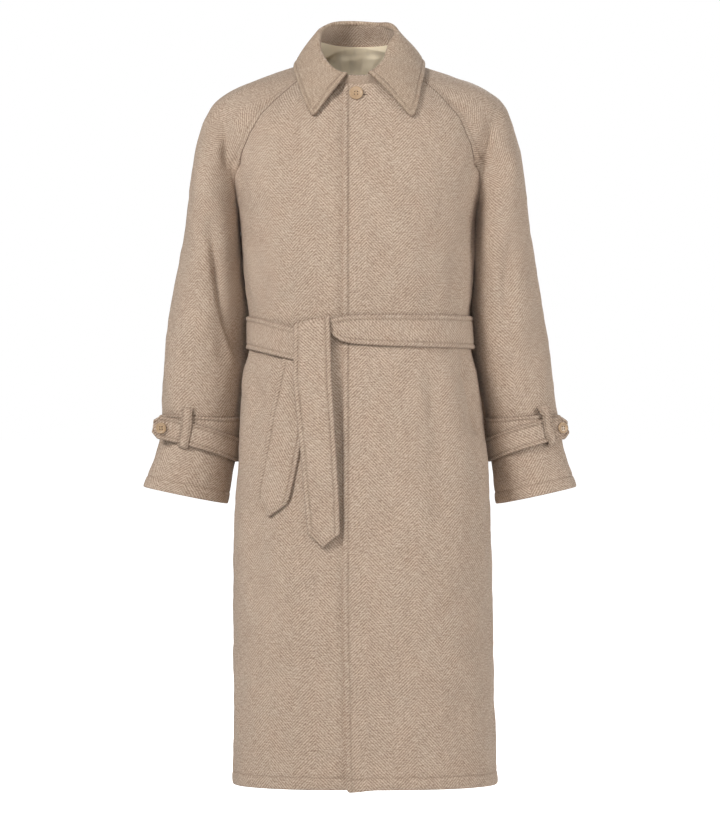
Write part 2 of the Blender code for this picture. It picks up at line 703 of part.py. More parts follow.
def hanging_end(name, rows, grids):
    """A belt end: a strip laid over the fronts, lifted as its table says."""
    under, ways = [], []
    for left_x, left_z, right_x, right_z, lift in strip_rows(rows):
        points, normals = [], []
        for part in np.linspace(0, 1, STRIP_STEPS + 1):
            x = left_x + (right_x - left_x) * part
            z = left_z + (right_z - left_z) * part
            point, normal = front_surface(grids, x, z)
            points.append(point + normal * lift)
            normals.append(normal)
        under.append(points)
        ways.append(normals)
    under, ways = np.array(under), np.array(ways)
    bent = outward(under, under - ways)
    bent *= np.sign(np.sum(bent[-4] * ways[-4]))
    wall(name, under + bent * BELT_CLOTH, bent, BELT_CLOTH)


def make_belt(grids, normals):
    """The band round the waist, from the knot's right side round the back to its left side."""
    loop = []
    for name, backwards in (("front_left", False), ("back", True), ("front_right", True)):
        grid, ways = grids[name], normals[name]
        order = range(grid.shape[1] - 1, -1, -1) if backwards else range(grid.shape[1])
        loop += [(grid[:, column], ways[:, column], name) for column in order]
    under, ways = [], []
    for column, column_ways, name in loop:
        x_here = np.interp(-BELT_HEIGHT, -column[:, 2], column[:, 0])
        if name == "front_right" and x_here > KNOT_X - KNOT_GAP:
            continue
        under.append(belt_column(column, belt_heights(x_here, name != "back")))
        heights = under[-1][:, 2]
        found = [np.interp(-heights, -column[:, 2], column_ways[:, axis]) for axis in range(3)]
        ways.append(unit(np.stack(found, axis=1)))
    start = [front_belt_column(grids, x) for x in (KNOT_X + KNOT_GAP, EDGE_X - UNDERLAP_STEP)]
    end = [front_belt_column(grids, KNOT_X - KNOT_GAP)]
    under = [item[0] for item in start] + under + [item[0] for item in end]
    ways = [item[1] for item in start] + ways + [item[1] for item in end]
    under, ways = np.array(under), np.array(ways)
    lift = np.array([[belt_lift(point) for point in column] for column in under])
    under = under + ways * lift[:, :, None]
    wall("belt_band", under + ways * BELT_CLOTH, ways, BELT_CLOTH)


def belt_heights(x, in_front):
    """Heights across the belt: it dips to the knot on one side and is pinched on the other."""
    middle, half = BELT_HEIGHT, BELT_WIDTH / 2
    if in_front and x < KNOT_X:
        middle -= BELT_DIP * np.clip((x - BELT_DIP_FROM) / (BELT_DIP_TO - BELT_DIP_FROM), 0, 1)
    if in_front and x > KNOT_X:
        half *= 1 - (1 - KNOT_PINCH) * smooth((KNOT_PINCH_FROM - x) / (KNOT_PINCH_FROM - KNOT_X))
    return middle + np.linspace(half, -half, STRIP_STEPS + 1)


def belt_lift(point):
    """How far the band's inner side stands off the coat."""
    if point[1] > 0:
        return BELT_GAP
    left = smooth((point[0] - KNOT_LIFT_LEFT[0]) / (KNOT_LIFT_LEFT[1] - KNOT_LIFT_LEFT[0]))
    right = smooth((point[0] - KNOT_LIFT_RIGHT[0]) / (KNOT_LIFT_RIGHT[1] - KNOT_LIFT_RIGHT[0]))
    return BELT_GAP + (KNOT_LIFT - BELT_GAP) * min(left, right)


def belt_column(column, heights):
    """Points of one panel column at heights."""
    return np.stack([np.interp(-heights, -column[:, 2], column[:, axis]) for axis in range(3)], axis=1)


def front_belt_column(grids, x):
    found = [front_surface(grids, x, z) for z in belt_heights(x, True)]
    return np.array([item[0] for item in found]), np.array([item[1] for item in found])


def on_sleeve(grid, ways, column, shifts):
    """Points of one sleeve column at distances along the arm from the strap's middle."""
    turn = column % SLEEVE_STEPS
    line, line_ways = grid[RING_START:, turn], ways[RING_START:, turn]
    length = np.concatenate(((0.0,), np.cumsum(np.linalg.norm(np.diff(line, axis=0), axis=1))))
    rows = np.concatenate(((UNDERARM,), ARM_ROWS))
    places = np.interp(STRAP_ROW, rows, length) + np.array(shifts)
    points = np.stack([np.interp(places, length, line[:, axis]) for axis in range(3)], axis=1)
    found = np.stack([np.interp(places, length, line_ways[:, axis]) for axis in range(3)], axis=1)
    return points, unit(found)


def make_strap(side, grid, ways):
    """A strap that starts at the front, goes round the arm and comes back over itself."""
    over = LAYER_GAP * 2 + STRAP_CLOTH
    half = np.linspace(-STRAP_WIDTH / 2, STRAP_WIDTH / 2, 3)
    under, out = [], []
    for column in range(STRAP_START, STRAP_LEAVES + 1):
        shift = np.interp(column, STRAP_SHIFT_AT, STRAP_SHIFTS)
        points, normals = on_sleeve(grid, ways, column, shift + half)
        climb = smooth((column - STRAP_CLIMB[0]) / (STRAP_CLIMB[1] - STRAP_CLIMB[0]))
        under.append(points + normals * (LAYER_GAP + (over - LAYER_GAP) * climb))
        out.append(normals)
    leaving = under[-1]
    middle = leaving.mean(axis=0)
    across = leaving - middle
    along = unit(unit(leaving - under[-2]).mean(axis=0) + (0, 0, STRAP_TAIL_RISE))
    facing = unit(np.cross(along, leaving[-1] - leaving[0]))
    facing = facing * np.sign(facing @ out[-1][1])
    for distance, width in STRAP_TAIL:
        under.append(middle + across * width + along * distance)
        out.append(np.repeat(facing[None], len(half), axis=0))
    under, out = np.array(under), np.array(out)
    wall("cuff_strap_" + side, under + out * STRAP_CLOTH, out, STRAP_CLOTH)
    return middle + along * STRAP_BUTTON + facing * (STRAP_CLOTH + LAYER_GAP), facing


def make_loop(side, grid, ways):
    """The cloth loop that stands over both turns of the strap."""
    top = LAYER_GAP * 3 + STRAP_CLOTH * 2
    under, out = [], []
    for part, lift in LOOP_PROFILE:
        found = [on_sleeve(grid, ways, column, (part * LOOP_HALF,)) for column in LOOP_COLUMNS]
        points = np.concatenate([item[0] for item in found])
        normals = np.concatenate([item[1] for item in found])
        under.append(points + normals * (LAYER_GAP + (top - LAYER_GAP) * lift))
        out.append(normals)
    under, out = np.array(under), np.array(out)
    bent = outward(under, under - out)
    wall("cuff_loop_" + side, under + bent * LOOP_CLOTH, bent, LOOP_CLOTH)


def make_button(name, seat, facing, radius):
    """A dished disc with four holes, turned round its own axis."""
    profile = (
        (0.0, 0.0), (radius * 0.86, 0.0), (radius, BUTTON_THICKNESS * 0.4),
        (radius * 0.96, BUTTON_THICKNESS * 0.9), (radius * 0.84, BUTTON_THICKNESS),
        (radius * 0.66, BUTTON_THICKNESS - BUTTON_DISH), (0.0, BUTTON_THICKNESS - BUTTON_DISH),
    )
    shape = bmesh.new()
    points = [shape.verts.new((x, 0.0, z)) for x, z in profile]
    edges = [shape.edges.new(pair) for pair in zip(points, points[1:])]
    bmesh.ops.spin(
        shape, geom=points + edges, axis=(0, 0, 1), cent=(0, 0, 0),
        angle=2 * math.pi, steps=BUTTON_SIDES, use_merge=True,
    )
    bmesh.ops.remove_doubles(shape, verts=shape.verts, dist=SAME_POINT)
    bmesh.ops.recalc_face_normals(shape, faces=shape.faces)
    mesh = bpy.data.meshes.new(name)
    shape.to_mesh(mesh)
    shape.free()
    item = add_object(name, mesh, HORN, 0.45)
    cutter = button_cutter(name, radius)
    turn = Vector(facing).to_track_quat("Z", "Y").to_euler()
    for thing in (item, cutter):
        thing.rotation_euler = turn
        thing.location = seat
    cut = item.modifiers.new("holes", "BOOLEAN")
    cut.object = cutter
    cut.operation = "DIFFERENCE"


def button_cutter(name, radius):
    """Four pins that cut a button's holes."""
    shape = bmesh.new()
    spread = radius * BUTTON_HOLE_SPREAD
    for x, y in ((1, 1), (1, -1), (-1, 1), (-1, -1)):
        made = bmesh.ops.create_cone(
            shape, cap_ends=True, segments=6, radius1=BUTTON_HOLE, radius2=BUTTON_HOLE,
            depth=BUTTON_THICKNESS * 4,
        )
        bmesh.ops.translate(shape, verts=made["verts"], vec=(x * spread, y * spread, 0))
    mesh = bpy.data.meshes.new(name + "_pins")
    shape.to_mesh(mesh)
    shape.free()
    cutter = bpy.data.objects.new(name + "_pins", mesh)
    cutter.hide_render = True
    cutter.display_type = "WIRE"
    CUTTERS.objects.link(cutter)
    return cutter


for old in list(bpy.data.objects):
    bpy.data.objects.remove(old)
COAT = collection("belted_coat")
CUTTERS = collection("cutters")

GRIDS, NORMALS = make_panels()
for piece, points in GRIDS.items():
    wall(piece, points, NORMALS[piece], CLOTH, RING_START if piece.startswith("sleeve") else None)
make_lining(GRIDS, NORMALS)
make_leaf(*make_stand(GRIDS), GRIDS, NORMALS)
make_belt(GRIDS, NORMALS)
hanging_end("belt_end_front", FRONT_END, GRIDS)
hanging_end("belt_end_back", BACK_END, GRIDS)
for hand in ("left", "right"):
    sleeve = GRIDS["sleeve_" + hand], NORMALS["sleeve_" + hand]
    seat, facing = make_strap(hand, *sleeve)
    make_loop(hand, *sleeve)
    make_button("button_cuff_" + hand, seat, facing, CUFF_BUTTON_RADIUS)
neck_seat, neck_facing = front_surface(GRIDS, NECK_BUTTON_X, NECK_BUTTON_Z)
neck_seat = neck_seat + neck_facing * NECK_BUTTON_LIFT
make_button("button_neck", neck_seat, unit(neck_facing + (0, -1, 0)), NECK_BUTTON_RADIUS)
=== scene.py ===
import json
import math

import bmesh
import bpy
import numpy as np
from mathutils import Matrix, Vector, kdtree
from mathutils.bvhtree import BVHTree

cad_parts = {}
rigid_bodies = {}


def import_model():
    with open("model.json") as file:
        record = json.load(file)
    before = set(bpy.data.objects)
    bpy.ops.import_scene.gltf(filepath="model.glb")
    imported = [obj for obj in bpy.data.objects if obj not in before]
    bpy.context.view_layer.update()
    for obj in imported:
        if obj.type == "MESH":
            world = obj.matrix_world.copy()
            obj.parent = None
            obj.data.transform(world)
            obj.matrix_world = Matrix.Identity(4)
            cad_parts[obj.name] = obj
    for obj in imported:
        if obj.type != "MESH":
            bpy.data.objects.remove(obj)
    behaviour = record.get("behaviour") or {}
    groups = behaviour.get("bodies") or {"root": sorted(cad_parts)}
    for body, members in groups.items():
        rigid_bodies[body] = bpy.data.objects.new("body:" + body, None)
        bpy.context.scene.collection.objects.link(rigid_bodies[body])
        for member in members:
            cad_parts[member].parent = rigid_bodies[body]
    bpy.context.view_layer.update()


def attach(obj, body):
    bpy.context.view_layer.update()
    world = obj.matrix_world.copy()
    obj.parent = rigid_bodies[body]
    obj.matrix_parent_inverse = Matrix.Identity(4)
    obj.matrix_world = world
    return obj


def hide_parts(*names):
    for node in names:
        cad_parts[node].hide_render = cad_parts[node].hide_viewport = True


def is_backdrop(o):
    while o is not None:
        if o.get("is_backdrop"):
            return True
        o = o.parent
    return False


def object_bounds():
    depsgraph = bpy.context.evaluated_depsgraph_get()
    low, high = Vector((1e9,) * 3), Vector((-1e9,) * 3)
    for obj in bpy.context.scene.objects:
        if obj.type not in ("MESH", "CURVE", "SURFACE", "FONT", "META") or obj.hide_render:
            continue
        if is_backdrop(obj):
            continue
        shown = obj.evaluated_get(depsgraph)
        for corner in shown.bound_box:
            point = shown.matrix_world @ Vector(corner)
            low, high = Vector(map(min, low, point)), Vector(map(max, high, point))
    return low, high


for old in list(bpy.data.objects):
    bpy.data.objects.remove(old)
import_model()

# The belted raglan coat's looks, on the tables of its solids. Metres, +Z up, the coat faces -Y.

# Walls and the gaps between them
CLOTH = 0.0024
COLLAR_CLOTH = 0.0028
BELT_CLOTH = 0.004
STRAP_CLOTH = 0.003
LINING_CLOTH = 0.001
SEAM_GAP = 0.0003
LAYER_GAP = 0.0007
LINING_DOWN_TO = 3.0
LINING_TOP = 0.0465
LINING_LOOSE = 0.02
LINING_COLUMNS = 240
LINING_SMOOTHING = 150
LINING_RISE_ROWS = 9
LINING_LINE = 24
LINING_HANG = 0.0018
LINING_WAVE = 0.0008
LINING_PRESS = 0.5
LINING_DEEP = 0.003

# Body sections are rounded oblongs: 2 is an ellipse, more is squarer
SQUARENESS = 2.3
SIDE_SEAM_Y = 0.008
UNDERARM = 6
CURVE_POINTS = 160
ARC_POINTS = 25
DENT_Y = 0.070
DENT_SPREAD = 0.045

# Front edge of the upper front, and how far the other front runs on under it
EDGE_X = -0.0265
EDGE_X_AT_HEM = -0.0205
EDGE_STRAIGHT_TO = -0.85
UNDERLAP_X = 0.045
UNDERLAP_STEP = 0.016
UNDERLAP_CLEAR = 0.005
UNDERLAP_POINTS = 9


def table(names, *rows):
    """Named columns of a short table that has one row for each section."""
    return dict(zip(names.split(), np.array(rows).T))


# Neck to armhole: the middle of each front row, then the raglan seam's place on it
FRONT_YOKE = table(
    "height depth seam_x seam_y seam_z centre",
    (-0.033, 0.105, 0.0695, -0.025, -0.005, 0.000),
    (-0.062, 0.121, 0.105, -0.058, -0.027, 0.000),
    (-0.100, 0.133, 0.150, -0.080, -0.073, -0.001),
    (-0.140, 0.140, 0.172, -0.082, -0.112, -0.003),
    (-0.185, 0.147, 0.188, -0.068, -0.152, -0.004),
    (-0.215, 0.150, 0.194, -0.045, -0.190, -0.004),
)
BACK_YOKE = table(
    "height depth seam_x seam_y seam_z",
    (0.045, 0.078, 0.050, 0.055, 0.033),
    (0.002, 0.108, 0.092, 0.084, 0.005),
    (-0.048, 0.128, 0.138, 0.102, -0.042),
    (-0.100, 0.138, 0.168, 0.104, -0.095),
    (-0.160, 0.144, 0.186, 0.090, -0.150),
    (-0.205, 0.147, 0.192, 0.060, -0.200),
)
# Underarm to hem, all round
BODY = table(
    "front_height side_height half_width centre front_depth back_depth dent",
    (-0.245, -0.245, 0.188, -0.004, 0.152, 0.147, 0.00),
    (-0.300, -0.300, 0.185, -0.003, 0.150, 0.144, 0.04),
    (-0.350, -0.350, 0.182, -0.002, 0.145, 0.139, 0.05),
    (-0.394, -0.394, 0.177, -0.001, 0.138, 0.133, 0.05),
    (-0.449, -0.449, 0.179, 0.000, 0.138, 0.135, 0.05),
    (-0.490, -0.490, 0.188, 0.001, 0.146, 0.146, 0.04),
    (-0.560, -0.560, 0.1955, 0.003, 0.154, 0.156, 0.04),
    (-0.640, -0.640, 0.200, 0.005, 0.159, 0.161, 0.01),
    (-0.760, -0.760, 0.206, 0.004, 0.164, 0.164, 0.00),
    (-1.000, -1.000, 0.208, 0.006, 0.168, 0.167, 0.00),
    (-1.132, -1.141, 0.211, 0.008, 0.171, 0.169, 0.00),
)
# Sleeve over the shoulder: its outermost line, how full it is, and how creased at the seam
CROWN = table(
    "outer_x outer_y outer_z front_full back_full crease",
    (0.072, 0.015, 0.014, 0.001, 0.002, 0.0),
    (0.118, 0.012, 0.001, 0.010, 0.012, 0.0),
    (0.197, 0.008, -0.028, 0.022, 0.024, 0.0),
    (0.236, 0.005, -0.060, 0.026, 0.028, 0.1),
    (0.255, 0.005, -0.114, 0.040, 0.037, 0.4),
    (0.266, 0.005, -0.170, 0.058, 0.053, 0.8),
)
# Sleeve from the underarm to the cuff's edge: closed rings
ARM = table(
    "outer_x outer_z inner_x inner_y inner_z middle_y half_depth outer_shift inner_shift",
    (0.274, -0.230, 0.1886, 0.008, -0.245, 0.008, 0.084, -0.004, -0.004),
    (0.2852, -0.298, 0.1815, 0.030, -0.309, 0.014, 0.083, -0.004, -0.003),
    (0.2980, -0.370, 0.1740, 0.045, -0.383, 0.020, 0.079, -0.005, -0.001),
    (0.3092, -0.447, 0.1770, 0.050, -0.467, 0.026, 0.073, -0.005, 0.000),
    (0.3161, -0.518, 0.1905, 0.050, -0.542, 0.030, 0.066, -0.003, 0.003),
    (0.3193, -0.556, 0.1945, 0.050, -0.581, 0.032, 0.058, 0.000, 0.004),
    (0.3265, -0.605, 0.2070, 0.046, -0.630, 0.033, 0.056, 0.001, 0.005),
    (0.3490, -0.667, 0.2163, 0.040, -0.695, 0.034, 0.055, 0.000, 0.004),
)
ARC_FULLNESS = 1.12

# Largest folds: a trough, or a ridge where the depth is positive, along a line seen from the front
FOLDS = table(
    "facing top_x top_z bottom_x bottom_z width depth",
    (-1, -0.222, -0.070, -0.203, -0.180, 0.016, -0.006),
    (-1, 0.221, -0.075, 0.197, -0.172, 0.016, -0.007),
    (-1, -0.237, -0.250, -0.214, -0.470, 0.014, -0.007),
    (-1, 0.226, -0.250, 0.232, -0.450, 0.014, -0.005),
    (-1, 0.160, -0.478, 0.186, -0.580, 0.013, -0.006),
    (-1, 0.118, -0.490, 0.124, -0.720, 0.018, -0.004),
    (-1, 0.152, -0.290, 0.150, -0.375, 0.012, -0.004),
    (-1, -0.150, -0.520, -0.165, -0.850, 0.020, -0.004),
    (1, -0.090, -0.280, -0.085, -0.370, 0.016, -0.005),
    (1, 0.085, -0.290, 0.090, -0.375, 0.016, -0.005),
    (1, -0.030, -0.500, -0.040, -0.900, 0.022, -0.006),
    (1, 0.120, -0.490, 0.130, -0.950, 0.020, -0.006),
    (1, -0.222, -0.080, -0.200, -0.200, 0.016, -0.006),
    (1, 0.218, -0.080, 0.197, -0.200, 0.016, -0.006),
)
FOLD_END = 0.15
CREASED_SEAM = 0.3
SEAM_EASE = 0.4

# Collar: the stand's height from the back to its front ends, and the leaf's edge
STAND_FRACTIONS = (0.0, 0.15, 0.3, 0.42, 0.55, 0.75, 1.0)
STAND_HEIGHTS = (0.039, 0.041, 0.048, 0.050, 0.045, 0.031, 0.012)
STAND_LEFT_END = 0.77
STAND_UP = np.array((0.0, -0.433, 0.902))
STAND_LEAN_RIGHT = 0.05
STAND_LEAN_LEFT = 0.12
LEAF_EDGE = table(
    "right_x left_x y z",
    (-0.0740, 0.0830, -0.130, -0.0905),
    (-0.0860, 0.0920, -0.110, -0.062),
    (-0.0990, 0.0990, -0.070, -0.024),
    (-0.1040, 0.1030, -0.020, 0.000),
    (-0.0950, 0.0950, 0.035, 0.008),
    (-0.0650, 0.0650, 0.078, 0.015),
    (0.0000, 0.0000, 0.096, 0.018),
)
LEAF_COLUMNS = 34
LEAF_BULGE = 0.0030
LEAF_RIGHT_END_X = -0.0215
LEAF_LEFT_END_X = 0.0150
LEAF_GAP = 0.0013
LEAF_EDGE_GAP = 0.0016
LEAF_INSIDE = 0.02

LEAF_FINE_COLUMNS = 170
LEAF_FINE_ROWS = 15
LEAF_CORNER = 0.014
LEAF_NEAR = 14
LEAF_START = ((0.0020, 0.0070), (0.0004, 0.0035))
ROLL_STEPS = 11
LEAF_EDGE_LIFT = 0.0028
ROLL = 0.0018
STAND_LEAN_IN = 0.0165
STAND_SWELL = 0.0030
STAND_TUCK = (0.010, 0.003, 0.0)
STAND_TUCK_DOWN = 0.004
STAND_EVEN = 0.003
STAND_SLANT = 0.0075
STAND_SLANT_FROM = 0.03
STAND_COLUMNS = 170
STAND_ROWS = 11
STAND_SMOOTHING = 3
STAND_BELOW = 0.0010
STAND_INSET = 0.0004
STAND_TUCK_COLUMNS = 6
STAND_FLAT_HEIGHT = 0.045
STAND_SWELL_FROM = 0.35

# Belt: the band round the waist and the two hanging ends of the knot
BELT_HEIGHT = -0.421
BELT_WIDTH = 0.053
BELT_GAP = 0.0010
BELT_DIP = 0.021
BELT_DIP_FROM = -0.174
BELT_DIP_TO = -0.098
KNOT_X = -0.065
KNOT_GAP = 0.002
KNOT_STEP = 0.002
KNOT_LIFT = 0.0066
KNOT_LIFT_LEFT = (-0.160, -0.122)
KNOT_LIFT_RIGHT = (0.000, -0.034)
FRONT_END = table(
    "left_x left_z right_x right_z lift",
    (-0.097, -0.4300, -0.045, -0.4190, 0.0053),
    (-0.097, -0.4150, -0.045, -0.4030, 0.0054),
    (-0.098, -0.4110, -0.045, -0.3990, 0.0074),
    (-0.098, -0.4110, -0.045, -0.3990, 0.0104),
    (-0.098, -0.4150, -0.045, -0.4030, 0.0128),
    (-0.098, -0.4320, -0.044, -0.4260, 0.0132),
    (-0.098, -0.4620, -0.043, -0.4580, 0.0132),
    (-0.098, -0.4950, -0.042, -0.4950, 0.0165),
    (-0.0885, -0.5980, -0.0355, -0.5980, 0.0150),
    (-0.0820, -0.6920, -0.0310, -0.6920, 0.0100),
    (-0.0790, -0.7350, -0.0300, -0.7350, 0.0080),
    (-0.0572, -0.7562, -0.0546, -0.7562, 0.0072),
)
BACK_END = table(
    "left_x left_z right_x right_z lift",
    (-0.1140, -0.4330, -0.0600, -0.4430, 0.0012),
    (-0.1200, -0.4640, -0.0660, -0.4740, 0.0012),
    (-0.1340, -0.5350, -0.0800, -0.5450, 0.0016),
    (-0.1475, -0.6060, -0.0935, -0.6160, 0.0016),
    (-0.1607, -0.6765, -0.1090, -0.6880, 0.0016),
    (-0.1408, -0.7100, -0.1382, -0.7108, 0.0030),
)
SLOPE_STEP = 0.006
END_SMOOTHING = 6

# Cuff straps, by the sleeve's own columns: under the arm is 0, the front about 6, the outside 12
SLEEVE_STEPS = 24
STRAP_ROW = 11.5
STRAP_WIDTH = 0.038
STRAP_START = 1
STRAP_LEAVES = {"left": 33, "right": 32}
STRAP_SHIFT_AT = (1, 6, 12, 18, 25, 30, 32)
STRAP_SHIFTS = (-0.030, -0.021, -0.007, -0.001, 0.005, -0.0055, -0.0080)
STRAP_CLIMB = (19, 25)
STRAP_TAIL = {
    "left": ((0.010, 1.0), (0.025, 1.0), (0.035, 0.55)),
    "right": ((0.018, 1.0), (0.036, 1.0), (0.046, 0.55)),
}
STRAP_TAIL_RISE = -0.06
STRAP_BUTTON = {"left": 0.022, "right": 0.031}
LOOP_COLUMNS = {"left": (8.2, 9.3), "right": (7.0, 7.9)}
LOOP_SLANT = {"left": 0.15, "right": 0.0}
LOOP_UP = 0.015
LOOP_HALF = 0.033
LOOP_CLOTH = 0.002
LOOP_RISE = ((0.7, 1.0), (0.85, 0.75), (0.93, 0.25), (1.0, 0.0))
LOOP_PROFILE = tuple((-part, lift) for part, lift in LOOP_RISE[::-1]) + LOOP_RISE

# Buttons
NECK_BUTTON_X = -0.006
NECK_BUTTON_Z = -0.0500
NECK_BUTTON_LIFT = 0.0026
NECK_BUTTON_RADIUS = 0.011
CUFF_BUTTON_RADIUS = 0.009
BUTTON_THICKNESS = 0.0034
BUTTON_DISH = 0.0011
BUTTON_HOLE = 0.0011
BUTTON_HOLE_SPREAD = 0.21
BUTTON_SIDES = 56
PEG_DEPTHS = (0.0022, 0.0016, 0.0009)
PEG_FILL = 0.9
SAME_POINT = 0.00001

# Camera and floor
CAMERA_DISTANCE = 5.0
CAMERA_HEIGHT = -0.5392
IMAGE_HEIGHT = 814
PIXEL = 0.0016
FLOOR = -1.25
FLOOR_HALF = 60
SENSOR = 36


def smooth(part):
    """0 to 1 with a level start and end."""
    part = np.clip(part, 0.0, 1.0)
    return part * part * (3.0 - 2.0 * part)


def unit(vectors):
    return vectors / np.maximum(np.linalg.norm(vectors, axis=-1, keepdims=True), 1e-12)


def joined(upper, lower):
    return np.concatenate((upper, lower))


FRONT = {
    "height": joined(FRONT_YOKE["height"], BODY["front_height"]),
    "depth": joined(FRONT_YOKE["depth"], BODY["front_depth"]),
    "seam_x": joined(FRONT_YOKE["seam_x"], BODY["half_width"]),
    "seam_y": joined(FRONT_YOKE["seam_y"], SIDE_SEAM_Y + 0 * BODY["dent"]),
    "seam_z": joined(FRONT_YOKE["seam_z"], BODY["side_height"]),
    "centre": joined(FRONT_YOKE["centre"], BODY["centre"]),
    "dent": joined(0 * FRONT_YOKE["centre"], BODY["dent"]),
}
BACK = dict(
    FRONT,
    height=joined(BACK_YOKE["height"], BODY["side_height"]),
    depth=joined(BACK_YOKE["depth"], BODY["back_depth"]),
    seam_x=joined(BACK_YOKE["seam_x"], BODY["half_width"]),
    seam_y=joined(BACK_YOKE["seam_y"], SIDE_SEAM_Y + 0 * BODY["dent"]),
    seam_z=joined(BACK_YOKE["seam_z"], BODY["side_height"]),
)
SLEEVE = {
    "outer_x": joined(CROWN["outer_x"], ARM["outer_x"]),
    "outer_y": joined(CROWN["outer_y"], ARM["middle_y"]),
    "outer_z": joined(CROWN["outer_z"], ARM["outer_z"]),
    "front_full": joined(CROWN["front_full"], ARM["half_depth"]),
    "back_full": joined(CROWN["back_full"], ARM["half_depth"]),
    "crease": joined(CROWN["crease"], np.ones(len(ARM["outer_x"]))),
    "outer_shift": joined(FRONT_YOKE["centre"], ARM["outer_shift"]),
    "inner_shift": joined(FRONT_YOKE["centre"], ARM["inner_shift"]),
}


def through(points, places):
    """A smooth curve through points, at fractional point numbers."""
    last = len(points) - 1
    low = np.minimum(np.asarray(places).astype(int), last - 1)
    part = (places - low).reshape((-1,) + (1,) * (points.ndim - 1))
    start, end = points[low], points[low + 1]
    slope_start = (end - points[np.maximum(low - 1, 0)]) / 2
    slope_end = (points[np.minimum(low + 2, last)] - start) / 2
    bend = part * part * (3 - 2 * part)
    ease_in, ease_out = part * (1 - part) ** 2, part * part * (part - 1)
    return start + (end - start) * bend + slope_start * ease_in + slope_end * ease_out


def value(columns, name, row):
    """A column's value at a fractional row, on a smooth curve through the rows."""
    return through(columns[name], np.array((row,)))[0]


def body_row(columns, facing, row):
    """Half a row of the front (facing -1) or back (1), from the middle to its seam."""
    depth = value(columns, "depth", row)
    seam_x = value(columns, "seam_x", row)
    seam_part = facing * value(columns, "seam_y", row) / depth
    reach = seam_x / (1 - abs(seam_part) ** SQUARENESS) ** (1 / SQUARENESS)
    end = math.acos(math.copysign(abs(seam_part) ** (SQUARENESS / 2), seam_part))
    angle = np.linspace(0, end, CURVE_POINTS)
    across = np.cos(angle)
    x = reach * np.sin(angle) ** (2 / SQUARENESS)
    y = facing * depth * np.sign(across) * np.abs(across) ** (2 / SQUARENESS)
    steps = np.hypot(np.diff(x), np.diff(y))
    length = np.concatenate(((0.0,), np.cumsum(steps)))
    height = value(columns, "height", row)
    z = height + (value(columns, "seam_z", row) - height) * (length / length[-1]) ** 2
    x = x * (1 - value(columns, "dent", row) * np.exp(-((y - DENT_Y) / DENT_SPREAD) ** 2))
    return np.stack((x, y, z), axis=1), length


def body_points(columns, facing, row, distances):
    """Points of a row at signed distances from the middle, as parts of the half row."""
    curve, length = body_row(columns, facing, row)
    places = np.abs(distances) * length[-1]
    points = np.stack([np.interp(places, length, curve[:, axis]) for axis in range(3)], axis=1)
    points[:, 0] = points[:, 0] * np.sign(distances) + value(columns, "centre", row)
    return points


def front_edge(row):
    """Where the upper front's edge is on a row."""
    height = value(FRONT, "height", row)
    return np.interp(height, (FRONT["height"][-1], EDGE_STRAIGHT_TO), (EDGE_X_AT_HEM, EDGE_X))


def arc(points, first, last):
    """A round curve through points, with given directions at its ends."""
    chords = np.diff(points, axis=0)
    lengths = np.maximum(np.linalg.norm(chords, axis=1), 1e-9)
    ways = chords / lengths[:, None]
    inner = unit(ways[:-1] * lengths[1:, None] + ways[1:] * lengths[:-1, None])
    ways = np.concatenate((first[None], inner, last[None]))
    part = np.linspace(0, 1, ARC_POINTS)[:, None]
    pieces = []
    for place, length in enumerate(lengths):
        pull = length * ARC_FULLNESS
        bend = part * part * (3 - 2 * part)
        start, end = points[place], points[place + 1]
        piece = start + (end - start) * bend + ways[place] * pull * part * (1 - part) ** 2
        pieces.append(piece + ways[place + 1] * pull * part * part * (part - 1))
    return np.concatenate([piece[:-1] for piece in pieces] + [pieces[-1][-1:]])


def sleeve_curve(row):
    """Section of the sleeve on the viewer's right, front seam to back seam, and its running length."""
    outer = np.array([value(SLEEVE, name, row) for name in ("outer_x", "outer_y", "outer_z")])
    front_row = body_row(FRONT, -1, min(row, UNDERARM))[0]
    back_row = body_row(BACK, 1, min(row, UNDERARM))[0]
    front, back = front_row[-1], back_row[-1]
    if row >= UNDERARM:
        place = row - UNDERARM
        front = np.array([value(ARM, name, place) for name in ("inner_x", "inner_y", "inner_z")])
        back = front
    front_full = (front + outer) / 2 - (0, value(SLEEVE, "front_full", row), 0)
    back_full = (back + outer) / 2 + (0, value(SLEEVE, "back_full", row), 0)
    round_way = unit(front_full - back_full)
    crease = value(SLEEVE, "crease", row)
    first = unit((1 - crease) * unit(front_row[-1] - front_row[-2]) + crease * round_way)
    last = unit((1 - crease) * unit(back_row[-2] - back_row[-1]) + crease * round_way)
    if row >= UNDERARM:
        half_depth = value(SLEEVE, "front_full", row)
        front_full[1] = outer[1] - half_depth
        back_full[1] = outer[1] + half_depth
        lean = (front[1] - outer[1]) / half_depth
        first = unit((1 - lean) * round_way + lean * unit(front_full - front))
    curve = arc(np.stack((front, front_full, outer, back_full, back)), first, last)
    return curve, lengths(curve)


def outward(grid, inside, ring_start=None):
    """Unit normals of a grid that point away from the points inside it."""
    across = np.gradient(grid, axis=1)
    if ring_start is not None:
        across[ring_start:, 0] = grid[ring_start:, 1] - grid[ring_start:, -2]
        across[ring_start:, -1] = across[ring_start:, 0]
    normals = unit(np.cross(across, np.gradient(grid, axis=0)))
    return normals * np.sign(np.sum(normals * (grid - inside)))


def share_seam(one, other):
    """Give two walls the same direction along a seam, except where it is creased."""
    together = unit(one + other)
    level = smooth((np.sum(one * other, axis=-1, keepdims=True) - CREASED_SEAM) / SEAM_EASE)
    one[:] = unit(one + level * (together - one))
    other[:] = unit(other + level * (together - other))


